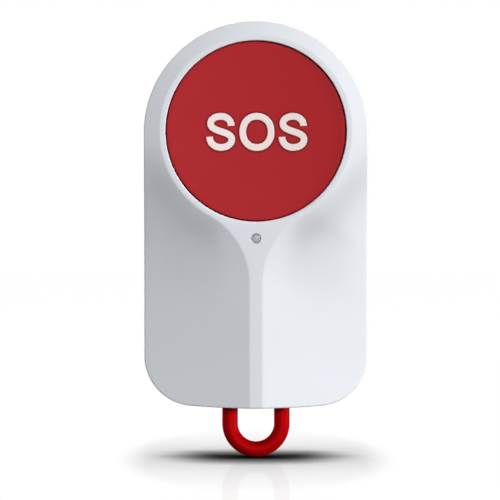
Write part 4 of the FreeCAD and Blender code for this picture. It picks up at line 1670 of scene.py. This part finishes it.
@dataclass
class Studio:
    """The plain pale floor, the soft lamps and the camera, in millimetres."""

    floor_z: float
    scale: float = 83.6
    distance: float = 600.0
    look_x: float = -1.0
    look_z: float = -19.9
    front: float = 15.0
    sensor: float = 36.0
    nearest: float = 10.0
    furthest: float = 20000.0
    middle: tuple[float, float, float] = (0.0, -15.0, -15.0)
    pool: FloorShade = FloorShade(4.5, 18.8, 0.54, 4.5, reach=20.0, power=4.0)
    halo: FloorShade = FloorShade(7.0, 24.5, 0.25, 4.5, reach=90.0, power=1.4)
    white_share: float = 0.85
    sheen: float = 0.08
    mirror_roughness: float = 0.06
    floor_near: float = 5.0
    floor_r: float = 4000.0
    floor_rows: int = 20
    floor_columns: int = 64

    def floor_paint(self) -> bpy.types.Material:
        """Makes a floor that is shaded near the object and turns to plain white away from it.

        It gives light only to the rays that show the background, and has a faint mirror in it.

        Returns:
            The material.
        """
        g = Graph("floor_white")
        near = self.pool.outside(g)
        halo = self.halo.tone(g, self.halo.outside(g))
        dark = g.math("MULTIPLY", self.pool.tone(g, near), halo)
        tone = g.mixed(dark, (0.0, 0.0, 0.0), (1.0, 1.0, 1.0))
        seen = g.seen()
        shown = g.scaled(tone, seen)
        lit = g.node("BsdfDiffuse", {"Color": shown}).outputs[0]
        plain = g.node("Emission", {"Color": shown, "Strength": 1.0}).outputs[0]
        fade = g.span(near, self.white_share, 1.0)
        matt = g.node("MixShader", {0: fade, 1: lit, 2: plain}).outputs[0]
        gloss = {"Color": shown, "Roughness": self.mirror_roughness}
        mirror = g.node("BsdfAnisotropic", gloss).outputs[0]
        sheen = g.math("MULTIPLY", seen, self.sheen)
        return g.finish(g.node("MixShader", {0: sheen, 1: matt, 2: mirror}).outputs[0])

    def floor(self) -> bpy.types.Object:
        """Makes the round floor, whose rings grow by one factor.

        Returns:
            The floor.
        """
        rings = np.geomspace(self.floor_near, self.floor_r, self.floor_rows)
        radius = np.concatenate([[POLE], rings])[:, None]
        angle = np.linspace(0, 2 * np.pi, self.floor_columns, endpoint=False)
        surface = Surface()
        points = depth_points(radius * np.cos(angle), -radius * np.sin(angle), self.floor_z)
        surface.grid(points, wrap=True)
        made = surface.build("floor")
        made.data.materials.append(self.floor_paint())
        return made

    def light(self) -> None:
        """Hangs the lamps and sets the surroundings' colour."""
        for lamp in LAMPS:
            data = bpy.data.lights.new(lamp.name, "AREA")
            data.size = lamp.size * MM
            data.energy = lamp.power
            made = bpy.data.objects.new(lamp.name, data)
            way = lamp.direction()
            made.location = (np.array(self.middle) + way * lamp.distance) * MM
            made.rotation_euler = self.towards(-way)
            bpy.context.scene.collection.objects.link(made)
        g = Graph("surroundings", world=True)
        white = (1.0, 1.0, 1.0, 1.0)
        unseen = g.node("Background", {"Color": white, "Strength": 0.0}).outputs[0]
        shown = g.node("Background", {"Color": white, "Strength": 1.0}).outputs[0]
        both = g.node("MixShader", {0: g.seen(), 1: unseen, 2: shown}).outputs[0]
        bpy.context.scene.world = g.finish(both)

    @staticmethod
    def towards(aim: np.ndarray) -> tuple[float, float, float]:
        """Gives the angles that turn an object's -Z towards a direction, with its Y kept up."""
        tilt = math.atan2(math.hypot(aim[0], aim[1]), -aim[2])
        return tilt, 0.0, math.atan2(aim[1], aim[0]) - math.pi / 2

    def camera(self) -> None:
        """Places the camera straight in front, as in the photograph."""
        data = bpy.data.cameras.new("camera")
        data.sensor_width = self.sensor
        data.lens = self.sensor * self.distance / self.scale
        data.clip_start = self.nearest * MM
        data.clip_end = self.furthest * MM
        made = bpy.data.objects.new("camera", data)
        away = self.distance + self.front
        made.location = [self.look_x * MM, -away * MM, self.look_z * MM]
        made.rotation_euler = (math.pi / 2, 0.0, 0.0)
        bpy.context.scene.collection.objects.link(made)
        bpy.context.scene.camera = made

    def build(self) -> bpy.types.Object:
        """Sets the whole stage.

        Returns:
            The floor.
        """
        floor = self.floor()
        self.light()
        self.camera()
        bpy.context.scene.view_settings.view_transform = "Standard"
        return floor


@dataclass
class PanicButton:
    """The whole object: its own pieces and the finishes of the CAD nodes that show as they are."""

    materials: dict[Slot, bpy.types.Material] = field(default_factory=dict)

    def dress(
        self,
        piece: bpy.types.Object,
        body: Body,
        slot: Slot,
        *nodes: str,
        finish: Finish | None = None,
    ) -> bpy.types.Object:
        """Gives a new piece its finish and body, and hides the CAD nodes that it stands for.

        Args:
            piece: The piece.
            body: The body it rides on.
            slot: The record's slot that it belongs to, whose finish it takes when it has none of
                its own.
            nodes: The CAD nodes that it replaces.
            finish: A finish of its own, if it doesn't take the slot's.

        Returns:
            The piece.
        """
        piece.data.materials.append(finish.build() if finish else self.materials[slot])
        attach(piece, body.value)
        if nodes:
            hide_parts(*nodes)
        return piece

    def dress_nodes(self) -> None:
        """Gives every CAD node the finish of its slot in the record."""
        for part in frame["record"]["subparts"]:
            node = frame["nodes"][part["node"]]
            material = self.materials[Slot(part["material_slot"])]
            if not node.material_slots:
                node.data.materials.append(material)
            for place in node.material_slots:
                place.material = material

    def front_cover(self) -> bpy.types.Object:
        """Makes the moulded front cover.

        Returns:
            The piece.
        """
        low, high = node_mm("front_cover")
        form = HousingForm(half_width=high[0], drop=-low[2], depth=-low[1], parting=-high[1])
        shell = FrontShell(form).build()
        slot = Slot.WHITE_PLASTIC
        return self.dress(shell, Body.HOUSING, slot, "front_cover", finish=COVER_PLASTIC)

    def press_button(self) -> list[bpy.types.Object]:
        """Makes the cap, the word on it and the word's faint dark edge.

        Returns:
            The pieces.
        """
        low, _ = node_mm("press_button")
        form = ButtonCap(rim_depth=-low[1])
        cap = self.dress(form.build(), Body.BUTTON, Slot.RED_BUTTON, "press_button")
        word = ButtonWord(form).build("button_word")
        self.dress(word, Body.BUTTON, Slot.WHITE_PLASTIC, finish=WORD_INK)
        edge = ButtonWord(form, stroke=1.8, rise=0.02, round_edge=0.02).build("word_edge")
        self.dress(edge, Body.BUTTON, Slot.RED_BUTTON, finish=WORD_DARK_EDGE)
        return [cap, word, edge]

    def pull_loop(self) -> bpy.types.Object:
        """Makes the red loop.

        Returns:
            The piece.
        """
        low, high = node_mm("pull_loop")
        rod = PullRod(top=high[2], low=low[2]).build()
        return self.dress(rod, Body.PULL, Slot.RED_ROD, "pull_loop")

    def light_pipe(self) -> bpy.types.Object:
        """Makes the clear rod in the hole under the button.

        Returns:
            The piece.
        """
        low, high = node_mm("light_pipe")
        eye = LightEye(low=-high[1], face=-low[1]).build()
        slot = Slot.CLEAR_PLASTIC
        return self.dress(eye, Body.HOUSING, slot, "light_pipe", finish=PIPE_END)

    def soft_pieces(self) -> list[bpy.types.Object]:
        """Makes the pieces inside that give as the button and the loop move.

        Returns:
            The pieces.
        """
        coil = CoilSpring(*node_mm("pull_spring"))
        spring = self.dress(coil.build(), Body.HOUSING, Slot.BRIGHT_STEEL, "pull_spring")
        coil.give(spring)
        pad = RubberRing(*node_mm("return_pad"))
        ring = self.dress(pad.build(), Body.HOUSING, Slot.GREY_RUBBER, "return_pad")
        pad.give(ring)
        return [spring, ring]

    def build(self) -> list[bpy.types.Object]:
        """Dresses the CAD nodes and makes every piece.

        Returns:
            The new pieces.
        """
        for slot, finish in FINISHES.items():
            self.materials[slot] = finish.build()
        self.dress_nodes()
        pieces = [self.front_cover(), *self.press_button(), self.pull_loop(), self.light_pipe()]
        return pieces + self.soft_pieces()


def main() -> None:
    """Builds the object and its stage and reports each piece."""
    logging.basicConfig(level=logging.INFO, format="%(message)s")
    pieces = PanicButton().build()
    pieces.append(Studio(floor_z=CAD_BOX[0][2] / MM).build())
    for piece in pieces:
        LOG.info("%s: %d faces", piece.name, len(piece.data.polygons))


if __name__ == "__main__":
    main()
